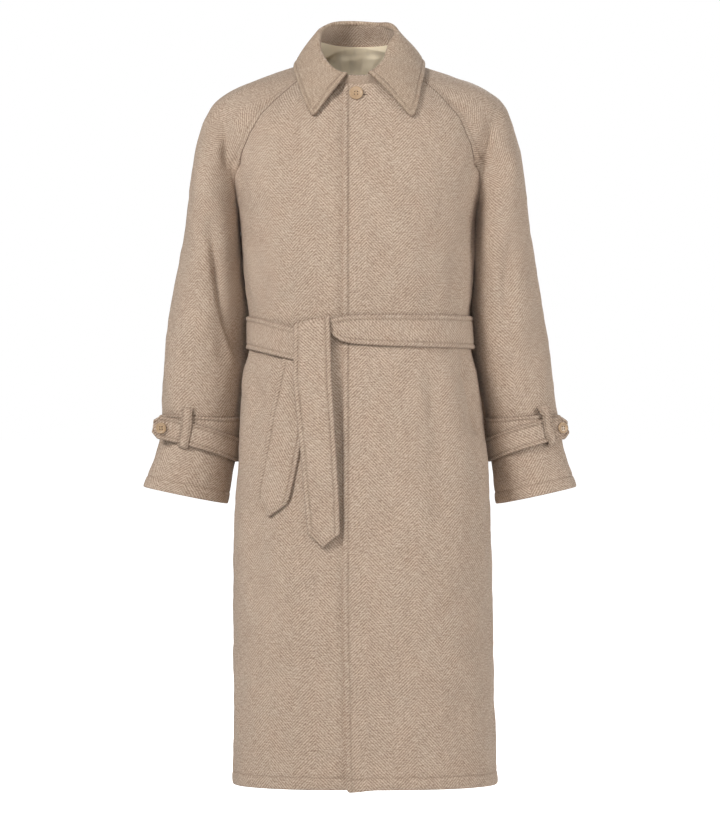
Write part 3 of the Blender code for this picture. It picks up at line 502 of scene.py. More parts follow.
def beside_line(grid, top_x, top_z, end_x, end_z):
    """How far along a line seen from the front each point is, as a part of it, and how far aside."""
    run = np.array((end_x - top_x, end_z - top_z))
    off = grid[:, :, (0, 2)] - (top_x, top_z)
    aside = (off[:, :, 0] * run[1] - off[:, :, 1] * run[0]) / math.hypot(*run)
    return off @ run / (run @ run), aside


def folded(grid, normals):
    """Press the largest folds into a grid."""
    moved = np.zeros(grid.shape[:2])
    for facing, *line, width, depth in zip(*FOLDS.values()):
        part, aside = beside_line(grid, *line)
        ends = smooth(part / FOLD_END + 0.5) * smooth((1 - part) / FOLD_END + 0.5)
        faces = smooth(facing * normals[:, :, 1] * 2)
        moved += depth * np.exp(-((aside / width) ** 2)) * ends * faces
    return grid + normals * moved[:, :, None]


# Finer points than the solids have, and where edges and sewing lines need more of them
FINE = 0.0046
PATH_POINTS = 600
EDGE_STEPS = (0.0, 0.0004, 0.0011, 0.0024, 0.0048, 0.0066, 0.0080, 0.0094, 0.0115, 0.0150)
SEAM_STEPS = (0.0, 0.0006, 0.0014, 0.0028, 0.0055, 0.0075, 0.0090, 0.0105, 0.0130)
HEM_STEPS = (0.0, 0.0004, 0.0011, 0.0024, 0.0055, 0.0100, 0.0150, 0.0174, 0.0190, 0.0206, 0.0230)
EDGE_STITCH = 0.0080
SEAM_STITCH = 0.0090
HEM_STITCH = 0.0190
GROOVE_WIDTH = 0.0013
GROOVE_DEPTH = 0.0010
# Painted shade: how much darker the colour is made along sewing lines, the hem, the front edge, seams,
# turned edges and lining creases, where shade falls, and how wide the dark bands are
GROOVE_SHADE = 0.5
HEM_SHADE = 0.32
FRONT_SHADE = 0.75
SEAM_SHADE = 0.9
EDGE_SHADE = 0.5
EDGE_DARK = 0.0018
LINING_SHADE = 0.28
SEAM_DARK = 0.0011
UNDERARM_SHADE = 0.4
UNDERARM_ROWS = 13
SEW_REACH = 0.03
WELT = 0.0006
EDGE_ROUND = 0.0026
SEAM_SINK = 0.0010
SEAM_ROUND = 0.0026
RIPPLE = 0.0008
WAVES = 8
HEM_DROP = 0.004
HEM_CORNER = 0.006


def lengths(points):
    """Running length along a line of points."""
    steps = np.linalg.norm(np.diff(points, axis=0), axis=1)
    return np.concatenate(((0.0,), np.cumsum(steps)))


def pick(places, length, points):
    return np.stack([np.interp(places, length, points[:, axis]) for axis in range(3)], axis=1)


def path_rows(first, last, line, ends=(0.0,)):
    """Row numbers that are evenly spaced along a line, closer at its end."""
    rows = np.linspace(first, last, PATH_POINTS)
    length = lengths(np.array([line(row) for row in rows]))
    main = length[-1] - max(ends)
    places = np.linspace(0, main, round(main / FINE) + 1)
    return np.interp(joined(places[:-1], length[-1] - np.array(ends[::-1])), length, rows)


def centre_line(row):
    return np.array((0.0, -value(FRONT, "depth", row), value(FRONT, "height", row)))


def outer_line(row):
    return np.array([value(SLEEVE, name, row) for name in ("outer_x", "outer_y", "outer_z")])


YOKE = path_rows(0, UNDERARM, centre_line)
PANEL_ROWS = joined(YOKE, path_rows(UNDERARM, len(FRONT["height"]) - 1, centre_line, HEM_STEPS)[1:])
SLEEVE_ROWS = joined(YOKE, path_rows(UNDERARM, len(SLEEVE["outer_x"]) - 1, outer_line, HEM_STEPS)[1:])
RING = len(YOKE) - 1
FRONT_COLUMNS = 80
BACK_COLUMNS = 104
SLEEVE_COLUMNS = 120


def from_edges(total, steps, count):
    """Places along a length, with the given steps at both ends."""
    middle = np.linspace(steps[-1], total - steps[-1], count)
    return np.concatenate((steps[:-1], middle, total - np.array(steps[:-1][::-1])))


def front_places(side, row):
    """Signed distances from the middle of the points of a front's row."""
    length = body_row(FRONT, -1, row)[1][-1]
    edge = front_edge(row) - value(FRONT, "centre", row)
    if side > 0:
        return edge + from_edges(length - edge, EDGE_STEPS, FRONT_COLUMNS), length, edge
    start = edge - UNDERLAP_CLEAR
    under = np.linspace(UNDERLAP_X, start, UNDERLAP_POINTS)
    beside = start - from_edges(length + start, SEAM_STEPS, FRONT_COLUMNS)[1:]
    return joined(under, beside), length, edge


def front_panel(side):
    """A front's points, its cloth places and its distances from seam and edge."""
    points, cloth, seam, edge = [], [], [], []
    for row in PANEL_ROWS:
        places, length, start = front_places(side, row)
        line = body_points(FRONT, -1, row, places / length)
        points.append(line)
        cloth.append(np.stack((places + value(FRONT, "centre", row), line[:, 2]), axis=1))
        seam.append(length - np.abs(places))
        edge.append(places - start)
    return np.array(points), np.array(cloth), np.array(seam), np.array(edge)


def back_panel():
    points, cloth, seam = [], [], []
    for row in PANEL_ROWS:
        length = body_row(BACK, 1, row)[1][-1]
        places = from_edges(2 * length, SEAM_STEPS, BACK_COLUMNS) - length
        line = body_points(BACK, 1, row, places / length)
        points.append(line)
        cloth.append(np.stack((places, line[:, 2]), axis=1))
        seam.append(length - np.abs(places))
    return np.array(points), np.array(cloth), np.array(seam)


def sleeve_panel(side, even=False):
    """A sleeve's points, its cloth places and its distances from the seam."""
    points, cloth, seam = [], [], []
    along = lengths(np.array([outer_line(row) for row in SLEEVE_ROWS]))
    for row, down in zip(SLEEVE_ROWS, along):
        curve, length = sleeve_curve(row)
        outermost = length[2 * (ARC_POINTS - 1)]
        places = from_edges(length[-1], SEAM_STEPS, SLEEVE_COLUMNS)
        if even:
            before = np.linspace(0, outermost, SLEEVE_COLUMNS // 2 + 1)
            places = joined(before, np.linspace(outermost, length[-1], SLEEVE_COLUMNS // 2 + 1)[1:])
        line = pick(places, length, curve)
        inside, outside = curve[:, 0].min(), curve[:, 0].max()
        shifts = value(SLEEVE, "inner_shift", row), value(SLEEVE, "outer_shift", row)
        line[:, 0] = line[:, 0] * side + np.interp(line[:, 0], (inside, outside), shifts)
        points.append(line)
        cloth.append(np.stack((side * (places - outermost), 0 * places - down), axis=1))
        seam.append(np.minimum(places, length[-1] - places))
    return np.array(points), np.array(cloth), np.array(seam)


def ripple(points, size, seed):
    """Soft uneven waves through space, about -1 to 1."""
    draw = np.random.default_rng(seed)
    total = np.zeros(points.shape[:-1])
    for _ in range(WAVES):
        way = unit(draw.normal(size=3)) * 2 * math.pi / (size * draw.uniform(0.7, 1.5))
        total += np.sin(points @ way + draw.uniform(0, 2 * math.pi))
    return total / math.sqrt(WAVES)


def rounded(distance, size, drop):
    """How far a surface falls off within a size of its edge."""
    part = 1 - np.clip(distance / size, 0, 1)
    return -drop * (1 - np.sqrt(1 - part * part))


def groove(distance, place):
    """1 along a sewing line, less on both sides of it."""
    return np.exp(-(((distance - place) / GROOVE_WIDTH) ** 2))


def sewn_edge(distance, place, thickness):
    """A turned edge: rounded off, full up to its sewing line and pressed in along it."""
    full = WELT * np.sin(math.pi * np.clip(distance / place, 0, 1))
    return rounded(distance, EDGE_ROUND, thickness / 2) + full - GROOVE_DEPTH * groove(distance, place)


def round_corner(grid, down, side, up, inward, size):
    """Pull the points near a corner in, given their distances from its two edges."""
    down, side = (np.clip(size - given, 0, None) for given in np.broadcast_arrays(down, side))
    kept = np.maximum(down, side) / np.maximum(np.hypot(down, side), 1e-9)
    pull = np.where((down > 0) & (side > 0), 1 - kept, 0)
    return grid + up * (down * pull)[:, :, None] + inward * (side * pull)[:, :, None]


def creased(grid, normals, creases):
    """The finer creases, along bowed lines that are seen from the front or back."""
    moved = np.zeros(grid.shape[:2])
    for facing, *line, bow, right, left, depth in zip(*creases.values()):
        part, aside = beside_line(grid, *line)
        aside = aside - bow * 4 * part * (1 - part)
        ends = smooth(part * 3) * smooth((1 - part) * 3)
        faces = smooth(facing * normals[:, :, 1] * 2 + 0.3)
        sharp = aside / np.where(aside > 0, right, left)
        moved += depth * np.exp(-(sharp ** 2)) * ends * faces
    return moved


CREASES = table(
    "facing top_x top_z end_x end_z bow right_width left_width depth",
    (-1, -0.238, -0.250, -0.180, -0.490, 0.009, 0.006, 0.028, -0.0110),
    (-1, -0.262, -0.300, -0.236, -0.520, -0.004, 0.014, 0.022, -0.0026),
    (-1, -0.288, -0.170, -0.278, -0.420, 0.004, 0.016, 0.028, -0.0025),
    (-1, 0.252, -0.205, 0.220, -0.420, -0.003, 0.012, 0.020, -0.0065),
    (-1, 0.272, -0.210, 0.286, -0.520, 0.005, 0.018, 0.028, -0.0030),
    (-1, 0.252, -0.420, 0.262, -0.560, 0.003, 0.012, 0.020, -0.0022),
    (-1, -0.250, -0.520, -0.268, -0.660, 0.003, 0.014, 0.022, -0.0022),
    (-1, 0.255, -0.600, 0.268, -0.690, 0.003, 0.014, 0.022, -0.0022),
    (-1, 0.217, -0.078, 0.188, -0.176, 0.000, 0.014, 0.005, -0.0090),
    (-1, -0.224, -0.074, -0.197, -0.186, 0.000, 0.008, 0.016, -0.0060),
    (-1, 0.150, -0.330, 0.153, -0.392, 0.000, 0.007, 0.012, -0.0030),
    (-1, 0.112, -0.345, 0.110, -0.392, 0.001, 0.007, 0.012, -0.0018),
    (-1, 0.064, -0.350, 0.060, -0.392, 0.000, 0.007, 0.010, -0.0014),
    (-1, -0.150, -0.330, -0.152, -0.390, 0.000, 0.012, 0.008, -0.0022),
    (-1, -0.116, -0.350, -0.120, -0.395, 0.000, 0.011, 0.007, -0.0016),
    (-1, 0.112, -0.450, 0.120, -0.600, 0.004, 0.010, 0.016, -0.0028),
    (-1, 0.070, -0.452, 0.076, -0.560, 0.002, 0.009, 0.014, -0.0018),
    (-1, 0.154, -0.435, 0.197, -0.620, -0.004, 0.004, 0.014, -0.0130),
    (-1, 0.022, -0.455, 0.024, -0.540, 0.002, 0.008, 0.012, -0.0014),
    (-1, -0.160, -0.460, -0.176, -0.640, -0.004, 0.016, 0.010, -0.0024),
    (1, -0.150, -0.320, -0.146, -0.392, 0.000, 0.009, 0.014, -0.0024),
    (1, -0.050, -0.340, -0.048, -0.392, 0.000, 0.008, 0.012, -0.0018),
    (1, 0.030, -0.345, 0.030, -0.392, 0.001, 0.012, 0.008, -0.0018),
    (1, 0.140, -0.330, 0.142, -0.392, 0.000, 0.014, 0.009, -0.0024),
    (1, -0.110, -0.450, -0.120, -0.620, 0.003, 0.010, 0.016, -0.0028),
    (1, 0.046, -0.450, 0.052, -0.600, 0.002, 0.010, 0.016, -0.0024),
    (1, 0.150, -0.450, 0.166, -0.580, 0.003, 0.014, 0.009, -0.0028),
    (1, -0.240, -0.260, -0.226, -0.500, 0.006, 0.012, 0.022, -0.0050),
    (1, 0.238, -0.250, 0.228, -0.490, -0.006, 0.020, 0.012, -0.0050),
    (1, -0.282, -0.200, -0.276, -0.460, 0.005, 0.018, 0.026, -0.0028),
    (1, 0.280, -0.210, 0.282, -0.470, -0.004, 0.026, 0.018, -0.0028),
)


def math_node(tree, kind, *values):
    """A Math node with numbers or sockets as its inputs; returns its output."""
    node = tree.nodes.new("ShaderNodeMath")
    node.operation = kind
    for place, given in enumerate(values):
        if isinstance(given, (int, float)):
            node.inputs[place].default_value = given
        else:
            tree.links.new(given, node.inputs[place])
    return node.outputs[0]


def noise_node(tree, vector, scale, detail=2.0, roughness=0.5):
    node = tree.nodes.new("ShaderNodeTexNoise")
    node.inputs["Scale"].default_value = scale
    node.inputs["Detail"].default_value = detail
    node.inputs["Roughness"].default_value = roughness
    tree.links.new(vector, node.inputs["Vector"])
    return node.outputs["Fac"]


def mix_node(tree, factor, first, second, kind="MIX"):
    node = tree.nodes.new("ShaderNodeMix")
    node.data_type = "RGBA"
    node.blend_type = kind
    node.clamp_factor = True
    for socket, given in ((node.inputs[0], factor), (node.inputs[6], first), (node.inputs[7], second)):
        if isinstance(given, (int, float, tuple)):
            socket.default_value = given
        else:
            tree.links.new(given, socket)
    return node.outputs[2]


def bump_node(tree, height, distance, strength):
    node = tree.nodes.new("ShaderNodeBump")
    node.inputs["Distance"].default_value = distance
    node.inputs["Strength"].default_value = strength
    tree.links.new(height, node.inputs["Height"])
    return node.outputs["Normal"]


def new_material(name, roughness):
    material = bpy.data.materials.new(name)
    material.use_nodes = True
    shader = material.node_tree.nodes["Principled BSDF"]
    shader.inputs["Roughness"].default_value = roughness
    return material, material.node_tree, shader


def linear(red, green, blue):
    """A screen colour, 0 to 255, as the shader's linear colour."""
    parts = np.array((red, green, blue)) / 255
    parts = np.where(parts <= 0.04045, parts / 12.92, ((parts + 0.055) / 1.055) ** 2.4)
    return (*parts.tolist(), 1.0)


# Herringbone: stripes of slanted twill lines that turn back at each stripe's edge
STRIPE = 0.0395
STRIPE_START = 0.011
TWILL_PITCH = 0.0052
STRIPE_BREAK = 0.43
CREAM = linear(203, 185, 166)
TAN = linear(140, 118, 101)
PINK = (1.0, 0.95, 0.925, 1.0)
# Painted shade: the colour that seams, grooves, edges and creases are pulled towards, standing in for the
# shade there
PAINTED_SHADE_COLOUR = (0.46, 0.43, 0.41, 1.0)


def around_half(tree, given, strength, added=0.0):
    """A noise's swing about its middle, times a strength, plus something."""
    return math_node(tree, "MULTIPLY_ADD", math_node(tree, "SUBTRACT", given, 0.5), strength, added)


def with_painted_shade(tree, colour):
    """A colour with painted shade: made darker where the mesh's painted-shade amount says, in seams,
    grooves, edges and creases.
    """
    painted_shade = tree.nodes.new("ShaderNodeAttribute")
    painted_shade.attribute_name = "painted_shade"
    return mix_node(tree, painted_shade.outputs["Fac"], colour, mix_node(tree, 1.0, colour, PAINTED_SHADE_COLOUR, "MULTIPLY"))


def herringbone(name, contrast, tint):
    """Napped wool in uneven herringbone; the contrast is how clearly its slanted lines show."""
    material, tree, shader = new_material(name, 0.95)
    place = tree.nodes.new("ShaderNodeUVMap").outputs["UV"]
    split = tree.nodes.new("ShaderNodeSeparateXYZ")
    tree.links.new(place, split.inputs[0])
    across, along = split.outputs[0], split.outputs[1]
    stretch = tree.nodes.new("ShaderNodeMapping")
    stretch.inputs["Scale"].default_value = (1.0, 8.0, 1.0)
    tree.links.new(place, stretch.inputs["Vector"])
    wobble = around_half(tree, noise_node(tree, place, 120.0, 3.0), 0.0018)
    shifted = math_node(tree, "SUBTRACT", across, STRIPE_START)
    shifted = around_half(tree, noise_node(tree, place, 70.0, 2.0), 0.0022, shifted)
    turn = math_node(tree, "PINGPONG", shifted, STRIPE)
    stripe = math_node(tree, "FLOOR", math_node(tree, "DIVIDE", shifted, STRIPE))
    jump = math_node(tree, "MULTIPLY", stripe, STRIPE_BREAK * TWILL_PITCH)
    line = math_node(tree, "ADD", math_node(tree, "ADD", along, turn), jump)
    line = math_node(tree, "DIVIDE", math_node(tree, "ADD", line, wobble), TWILL_PITCH)
    ridge = math_node(tree, "MULTIPLY", math_node(tree, "PINGPONG", line, 0.5), 2.0)
    clear = around_half(tree, noise_node(tree, place, 48.0, 3.0, 0.6), 1.4, 0.95)
    clear = math_node(tree, "MULTIPLY", math_node(tree, "MAXIMUM", clear, 0.45), contrast)
    lines = math_node(tree, "MULTIPLY", math_node(tree, "SUBTRACT", ridge, 0.5), clear)
    slub = noise_node(tree, place, 300.0, 3.0, 0.65)
    fuzz = noise_node(tree, place, 800.0, 2.0, 0.7)
    weft = noise_node(tree, stretch.outputs["Vector"], 75.0, 3.0, 0.6)
    patch = noise_node(tree, place, 17.0, 3.0, 0.55)
    tone = around_half(tree, slub, 1.9, math_node(tree, "ADD", lines, 0.5))
    for swing, strength in ((fuzz, 2.2), (weft, 1.5), (patch, 0.3)):
        tone = around_half(tree, swing, strength, tone)
    colour = mix_node(tree, tone, TAN, CREAM)
    blush = around_half(tree, noise_node(tree, place, 24.0, 2.0), 1.3, 0.45)
    colour = mix_node(tree, blush, colour, mix_node(tree, 1.0, colour, PINK, "MULTIPLY"))
    # Painted shade along seams, grooves and edges, then the cloth's tint
    colour = with_painted_shade(tree, mix_node(tree, 1.0, colour, (*tint, 1.0), "MULTIPLY"))
    tree.links.new(colour, shader.inputs["Base Color"])
    height = math_node(tree, "MULTIPLY_ADD", lines, 0.7, math_node(tree, "MULTIPLY", fuzz, 0.9))
    height = math_node(tree, "MULTIPLY_ADD", slub, 0.7, height)
    tree.links.new(bump_node(tree, height, 0.0007, 0.6), shader.inputs["Normal"])
    shader.inputs["Sheen Weight"].default_value = 0.12
    shader.inputs["Sheen Roughness"].default_value = 0.6
    shader.inputs["Sheen Tint"].default_value = (1.0, 0.93, 0.86, 1.0)
    shader.inputs["Specular IOR Level"].default_value = 0.15
    return material


def satin():
    material, tree, shader = new_material("satin_lining", 0.62)
    place = tree.nodes.new("ShaderNodeUVMap")
    soft = noise_node(tree, place.outputs["UV"], 30.0, 3.0)
    fine = noise_node(tree, place.outputs["UV"], 1600.0, 1.0)
    tone = math_node(tree, "MULTIPLY_ADD", fine, 0.25, math_node(tree, "MULTIPLY", soft, 0.75))
    # Painted light: the satin's colours are near white, far lighter than its own khaki, to make up for the
    # light that does not reach inside the neck; the soft mottling is the satin's own, and the mesh adds
    # painted shade in its creases
    colour = with_painted_shade(tree, mix_node(tree, tone, linear(240, 222, 190), linear(254, 240, 212)))
    tree.links.new(colour, shader.inputs["Base Color"])
    tree.links.new(bump_node(tree, fine, 0.0001, 0.3), shader.inputs["Normal"])
    shader.inputs["Sheen Weight"].default_value = 0.15
    return material


def horn():
    material, tree, shader = new_material("button_horn", 0.32)
    place = tree.nodes.new("ShaderNodeTexCoord")
    stretch = tree.nodes.new("ShaderNodeMapping")
    stretch.inputs["Scale"].default_value = (1.0, 5.0, 1.0)
    tree.links.new(place.outputs["Object"], stretch.inputs["Vector"])
    streak = noise_node(tree, stretch.outputs["Vector"], 220.0, 4.0, 0.6)
    cloud = noise_node(tree, place.outputs["Object"], 120.0, 2.0)
    tone = math_node(tree, "MULTIPLY_ADD", cloud, 0.5, math_node(tree, "MULTIPLY", streak, 0.7))
    colour = mix_node(tree, tone, linear(145, 112, 79), linear(191, 164, 132))
    tree.links.new(colour, shader.inputs["Base Color"])
    tree.links.new(bump_node(tree, streak, 0.0001, 0.2), shader.inputs["Normal"])
    shader.inputs["Coat Weight"].default_value = 0.15
    return material


def thread(name, first, second):
    material, tree, shader = new_material(name, 0.8)
    place = tree.nodes.new("ShaderNodeTexCoord")
    twist = noise_node(tree, place.outputs["Object"], 900.0, 2.0)
    tree.links.new(mix_node(tree, twist, linear(*first), linear(*second)), shader.inputs["Base Color"])
    tree.links.new(bump_node(tree, twist, 0.0002, 0.5), shader.inputs["Normal"])
    return material


WOOL = herringbone("wool_herringbone", 0.82, (1.0, 1.0, 1.0))
NAPPED = herringbone("wool_herringbone_napped", 0.50, (0.94, 0.93, 0.90))
SATIN = satin()
HORN = horn()
THREAD = thread("sewing_thread", (150, 126, 106), (186, 164, 142))
# Partly thread, partly painted shade: dark brown for the thread deep in the button holes and for the shade
# in the buttonhole's slit
THREAD_AND_HOLE_SHADE = thread("button_thread_and_painted_shade", (58, 40, 27), (86, 62, 43))


def add_piece(name, mesh, material, node=None):
    """Put a mesh in the scene as a piece of the coat."""
    mesh.materials.append(material)
    piece = bpy.data.objects.new(name, mesh)
    bpy.context.scene.collection.objects.link(piece)
    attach(piece, "root")
    if node:
        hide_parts(node)
    return piece


def grid_faces(grid):
    """The numbers of a grid's points, and the four of each of its faces."""
    rows, columns = grid.shape[:2]
    places = np.arange(rows * columns).reshape(rows, columns)
    quads = np.stack((places[:-1, :-1], places[:-1, 1:], places[1:, 1:], places[1:, :-1]), axis=-1)
    return places, quads.reshape(-1, 4)


def shell(node, outer, normals, thickness, cloth, ring=None, painted_shade=None, material=None):
    """A closed cloth wall: the outer grid, the same grid moved in, and its rims."""
    places, quads = grid_faces(outer)
    count = places.size
    points = outer.reshape(-1, 3)
    middle = quads[len(quads) // 2]
    facing = np.cross(points[middle[1]] - points[middle[0]], points[middle[2]] - points[middle[0]])
    if facing @ normals.reshape(-1, 3)[middle[0]] < 0:
        quads = quads[:, ::-1]
    rims = [places[0], places[-1][::-1]]
    until = len(places) if ring is None else ring + 1
    rims += [places[:until, 0][::-1], places[:until, -1]]
    pairs = np.concatenate([quads[:, (turn, (turn + 1) % 4)] for turn in range(4)])
    sides = set(map(tuple, pairs.tolist()))
    rim_quads = []
    for line in rims:
        for start, end in zip(line[:-1], line[1:]):
            if (start, end) not in sides:
                start, end = end, start
            rim_quads.append((end, start, start + count, end + count))
    faces = np.concatenate((quads, quads[:, ::-1] + count, np.array(rim_quads)))
    inner = (outer - normals * thickness).reshape(-1, 3)
    merged = np.arange(2 * count)
    if ring is not None:
        merged[places[ring:, -1]] = places[ring:, 0]
        merged[places[ring:, -1] + count] = places[ring:, 0] + count
    used, corners = np.unique(merged[faces], return_inverse=True)
    vertices = np.concatenate((points, inner))[used]
    mesh = bpy.data.meshes.new(node)
    mesh.from_pydata(vertices.tolist(), [], corners.reshape(-1, 4).tolist())
    flat = np.concatenate((cloth.reshape(-1, 2),) * 2)[faces.reshape(-1)]
    mesh.uv_layers.new(name="UVMap").data.foreach_set("uv", flat.astype(np.float32).reshape(-1))
    # Painted shade: how much each point's colour is darkened for the shade in its seam, groove, edge or
    # crease
    if painted_shade is not None:
        dark = np.concatenate((np.clip(painted_shade, 0, 1).reshape(-1),) * 2)[used]
        mesh.attributes.new("painted_shade", "FLOAT", "POINT").data.foreach_set("value", dark.astype(np.float32))
    mesh.shade_smooth()
    mesh.set_sharp_from_angle(angle=math.radians(70))
    return add_piece(node + "_cloth", mesh, material or WOOL, node)


# Panels: smooth forms first, for what lies on them, then their sewn edges
SHAPES, CLOTHS, SEAMS = {}, {}, {}
SHAPES["front_left"], CLOTHS["front_left"], SEAMS["front_left"], LEFT_EDGE = front_panel(1)
SHAPES["front_right"], CLOTHS["front_right"], SEAMS["front_right"], RIGHT_EDGE = front_panel(-1)
SHAPES["back"], CLOTHS["back"], SEAMS["back"] = back_panel()
for hand, side in (("left", 1), ("right", -1)):
    name = "sleeve_" + hand
    SHAPES[name], CLOTHS[name], SEAMS[name] = sleeve_panel(side)
    SHAPES["even_" + hand], _, _ = sleeve_panel(side, True)

WAYS = {}
for name, grid in SHAPES.items():
    ring = None if name.startswith(("front", "back")) else RING
    inside = grid.mean(axis=1, keepdims=True)
    if ring is None:
        inside[:, :, 1] = 0
    WAYS[name] = outward(grid, inside, ring)
for hand, back_column in (("left", -1), ("right", 0)):
    front, sleeve, back = WAYS["front_" + hand], WAYS["sleeve_" + hand], WAYS["back"]
    share_seam(front[:RING, -1], sleeve[:RING, 0])
    share_seam(back[:RING, back_column], sleeve[:RING, -1])
    share_seam(front[RING:, -1], back[RING:, back_column])
for name in SHAPES:
    moved = creased(SHAPES[name], WAYS[name], CREASES)
    SHAPES[name] = folded(SHAPES[name], WAYS[name]) + WAYS[name] * moved[:, :, None]

HEM = lengths(np.array([centre_line(row) for row in PANEL_ROWS]))
HEM = (HEM[-1] - HEM)[:, None]
CUFF = lengths(np.array([outer_line(row) for row in SLEEVE_ROWS]))
CUFF = (CUFF[-1] - CUFF)[:, None]


def detail(name):
    """How far a panel's surface moves for its seams, sewn edges and unevenness."""
    grid = SHAPES[name]
    moved = RIPPLE * (ripple(grid, 0.070, 3) + 0.5 * ripple(grid, 0.030, 4))
    moved = moved + rounded(SEAMS[name], SEAM_ROUND, SEAM_SINK)
    end = CUFF if name.startswith("sleeve") else HEM
    moved = moved + sewn_edge(end, HEM_STITCH, CLOTH)
    if name == "front_left":
        moved = moved + sewn_edge(LEFT_EDGE, EDGE_STITCH, CLOTH)
    if name.startswith("sleeve"):
        moved[:RING] -= GROOVE_DEPTH * groove(SEAMS[name][:RING], SEAM_STITCH)
    return moved


def shade(name):
    """Painted shade on a panel: how dark its colour is made along its seams and sewing lines, where shade
    falls.
    """
    dark = SEAM_SHADE * np.exp(-((SEAMS[name] / SEAM_DARK) ** 2))
    dark[RING - UNDERARM_ROWS:] *= UNDERARM_SHADE
    dark = dark + HEM_SHADE * groove(CUFF if name.startswith("sleeve") else HEM, HEM_STITCH)
    if name == "front_left":
        dark = dark + FRONT_SHADE * groove(LEFT_EDGE, EDGE_STITCH) * (0.4 + 0.6 * smooth(HEM / 0.8))
    if name.startswith("sleeve"):
        dark[:RING] += HEM_SHADE * groove(SEAMS[name][:RING], SEAM_STITCH)
    return dark


PANELS = {}
for name in ("front_left", "front_right", "back", "sleeve_left", "sleeve_right"):
    outer = SHAPES[name] + WAYS[name] * detail(name)[:, :, None]
    if name == "front_right":
        tuck = np.clip((RIGHT_EDGE + UNDERLAP_CLEAR + UNDERLAP_STEP) / UNDERLAP_STEP, 0, 1)
        outer -= WAYS[name] * ((CLOTH + LAYER_GAP) * tuck)[:, :, None]
    if name == "front_left":
        outer[:, :, 2] -= HEM_DROP * smooth(1 - LEFT_EDGE / 0.05) * smooth(1 - HEM / 0.20)
        up, inward = np.array((0, 0, 1.0)), np.array((1.0, 0, 0))
        outer = round_corner(outer, HEM, LEFT_EDGE, up, inward, HEM_CORNER)
    PANELS[name] = outer


def sew(*edges):
    """Bring two panels together along their raglan seam and ease the cloth beside it."""
    (first, first_column), (second, second_column) = edges
    gap = PANELS[second][:RING, second_column] - PANELS[first][:RING, first_column]
    for (name, column), part in zip(edges, (0.5, -0.5)):
        half = PANELS[name].shape[1] // 2
        beside = slice(0, half) if column == 0 else slice(half, None)
        near = smooth(1 - SEAMS[name][:RING, beside] / SEW_REACH)
        PANELS[name][:RING, beside] += part * gap[:, None] * near[:, :, None]


for hand, back_column in (("left", -1), ("right", 0)):
    sew(("front_" + hand, -1), ("sleeve_" + hand, 0))
    sew(("back", back_column), ("sleeve_" + hand, -1))
for name, outer in PANELS.items():
    ring = RING if name.startswith("sleeve") else None
    shell(name, outer, WAYS[name], CLOTH, CLOTHS[name], ring, shade(name))


def even_curve(points, count):
    """A smooth curve through points, resampled to even steps."""
    fine = through(points, np.linspace(0, len(points) - 1, 12 * len(points)))
    length = lengths(fine)
    return pick(np.linspace(0, length[-1], count), length, fine)


# What lies on the panels finds their surface here
SURFACE = [name for name in SHAPES if not name.startswith("even")]
SURFACE_POINTS = np.concatenate([SHAPES[name].reshape(-1, 3) for name in SURFACE])
SURFACE_WAYS = np.concatenate([WAYS[name].reshape(-1, 3) for name in SURFACE])
NEAREST = kdtree.KDTree(len(SURFACE_POINTS))
for number, point in enumerate(SURFACE_POINTS):
    NEAREST.insert(point, number)
NEAREST.balance()


def rest_on(points, gap, lowered=False):
    """Lift points that are nearer to the panels than a gap, or lay all of them at that gap."""
    lifted = points.reshape(-1, 3).copy()
    for place, point in enumerate(lifted):
        number = NEAREST.find(point)[1]
        away = (point - SURFACE_POINTS[number]) @ SURFACE_WAYS[number]
        if lowered or away < gap:
            lifted[place] += SURFACE_WAYS[number] * (gap - away)
    return lifted.reshape(points.shape)


TREES = {}
for name in ("front_left", "front_right"):
    faces = grid_faces(SHAPES[name])[1]
    TREES[name] = BVHTree.FromPolygons(SHAPES[name].reshape(-1, 3).tolist(), faces.tolist())


def front_depth(x, z):
    hit = TREES["front_left" if x > EDGE_X else "front_right"].ray_cast((x, -1.0, z), (0.0, 1.0, 0.0))
    return hit[0].y


def front_surface(x, z):
    """Point and normal of the outermost front at a place seen from the front."""
    step = SLOPE_STEP
    slope_x = (front_depth(x + step, z) - front_depth(x - step, z)) / (2 * step)
    slope_z = (front_depth(x, z + step) - front_depth(x, z - step)) / (2 * step)
    return np.array((x, front_depth(x, z), z)), unit(np.array((slope_x, -1.0, slope_z)))


def laid(places):
    """Points and normals of the outermost front at places seen from the front."""
    points, ways = zip(*(front_surface(x, z) for x, z in places))
    return np.array(points), np.array(ways)


LINING_CREASES = table(
    "facing top_x top_z end_x end_z bow right_width left_width depth",
    (1, -0.052, 0.0360, 0.006, 0.0375, 0.0020, 0.0040, 0.0018, -0.0030),
    (1, -0.006, 0.0370, 0.056, 0.0360, -0.0020, 0.0040, 0.0018, -0.0030),
    (1, -0.050, 0.0310, 0.052, 0.0315, 0.0010, 0.0050, 0.0030, 0.0020),
    (1, -0.036, 0.0440, -0.030, 0.0040, 0.0015, 0.0080, 0.0025, -0.0034),
    (1, -0.020, 0.0360, -0.015, 0.0020, -0.0015, 0.0025, 0.0080, -0.0036),
    (1, 0.006, 0.0350, 0.000, 0.0040, 0.0010, 0.0060, 0.0025, -0.0024),
    (1, 0.042, 0.0360, 0.019, 0.0060, 0.0015, 0.0025, 0.0080, -0.0036),
    (1, -0.046, 0.0300, -0.036, 0.0080, 0.0010, 0.0025, 0.0060, -0.0026),
    (1, -0.027, 0.0440, -0.026, 0.0320, 0.0000, 0.0016, 0.0030, -0.0020),
    (1, -0.008, 0.0440, -0.010, 0.0320, 0.0000, 0.0030, 0.0016, -0.0020),
    (1, 0.012, 0.0440, 0.013, 0.0320, 0.0000, 0.0016, 0.0030, -0.0020),
    (1, 0.031, 0.0440, 0.029, 0.0320, 0.0000, 0.0030, 0.0016, -0.0020),
)


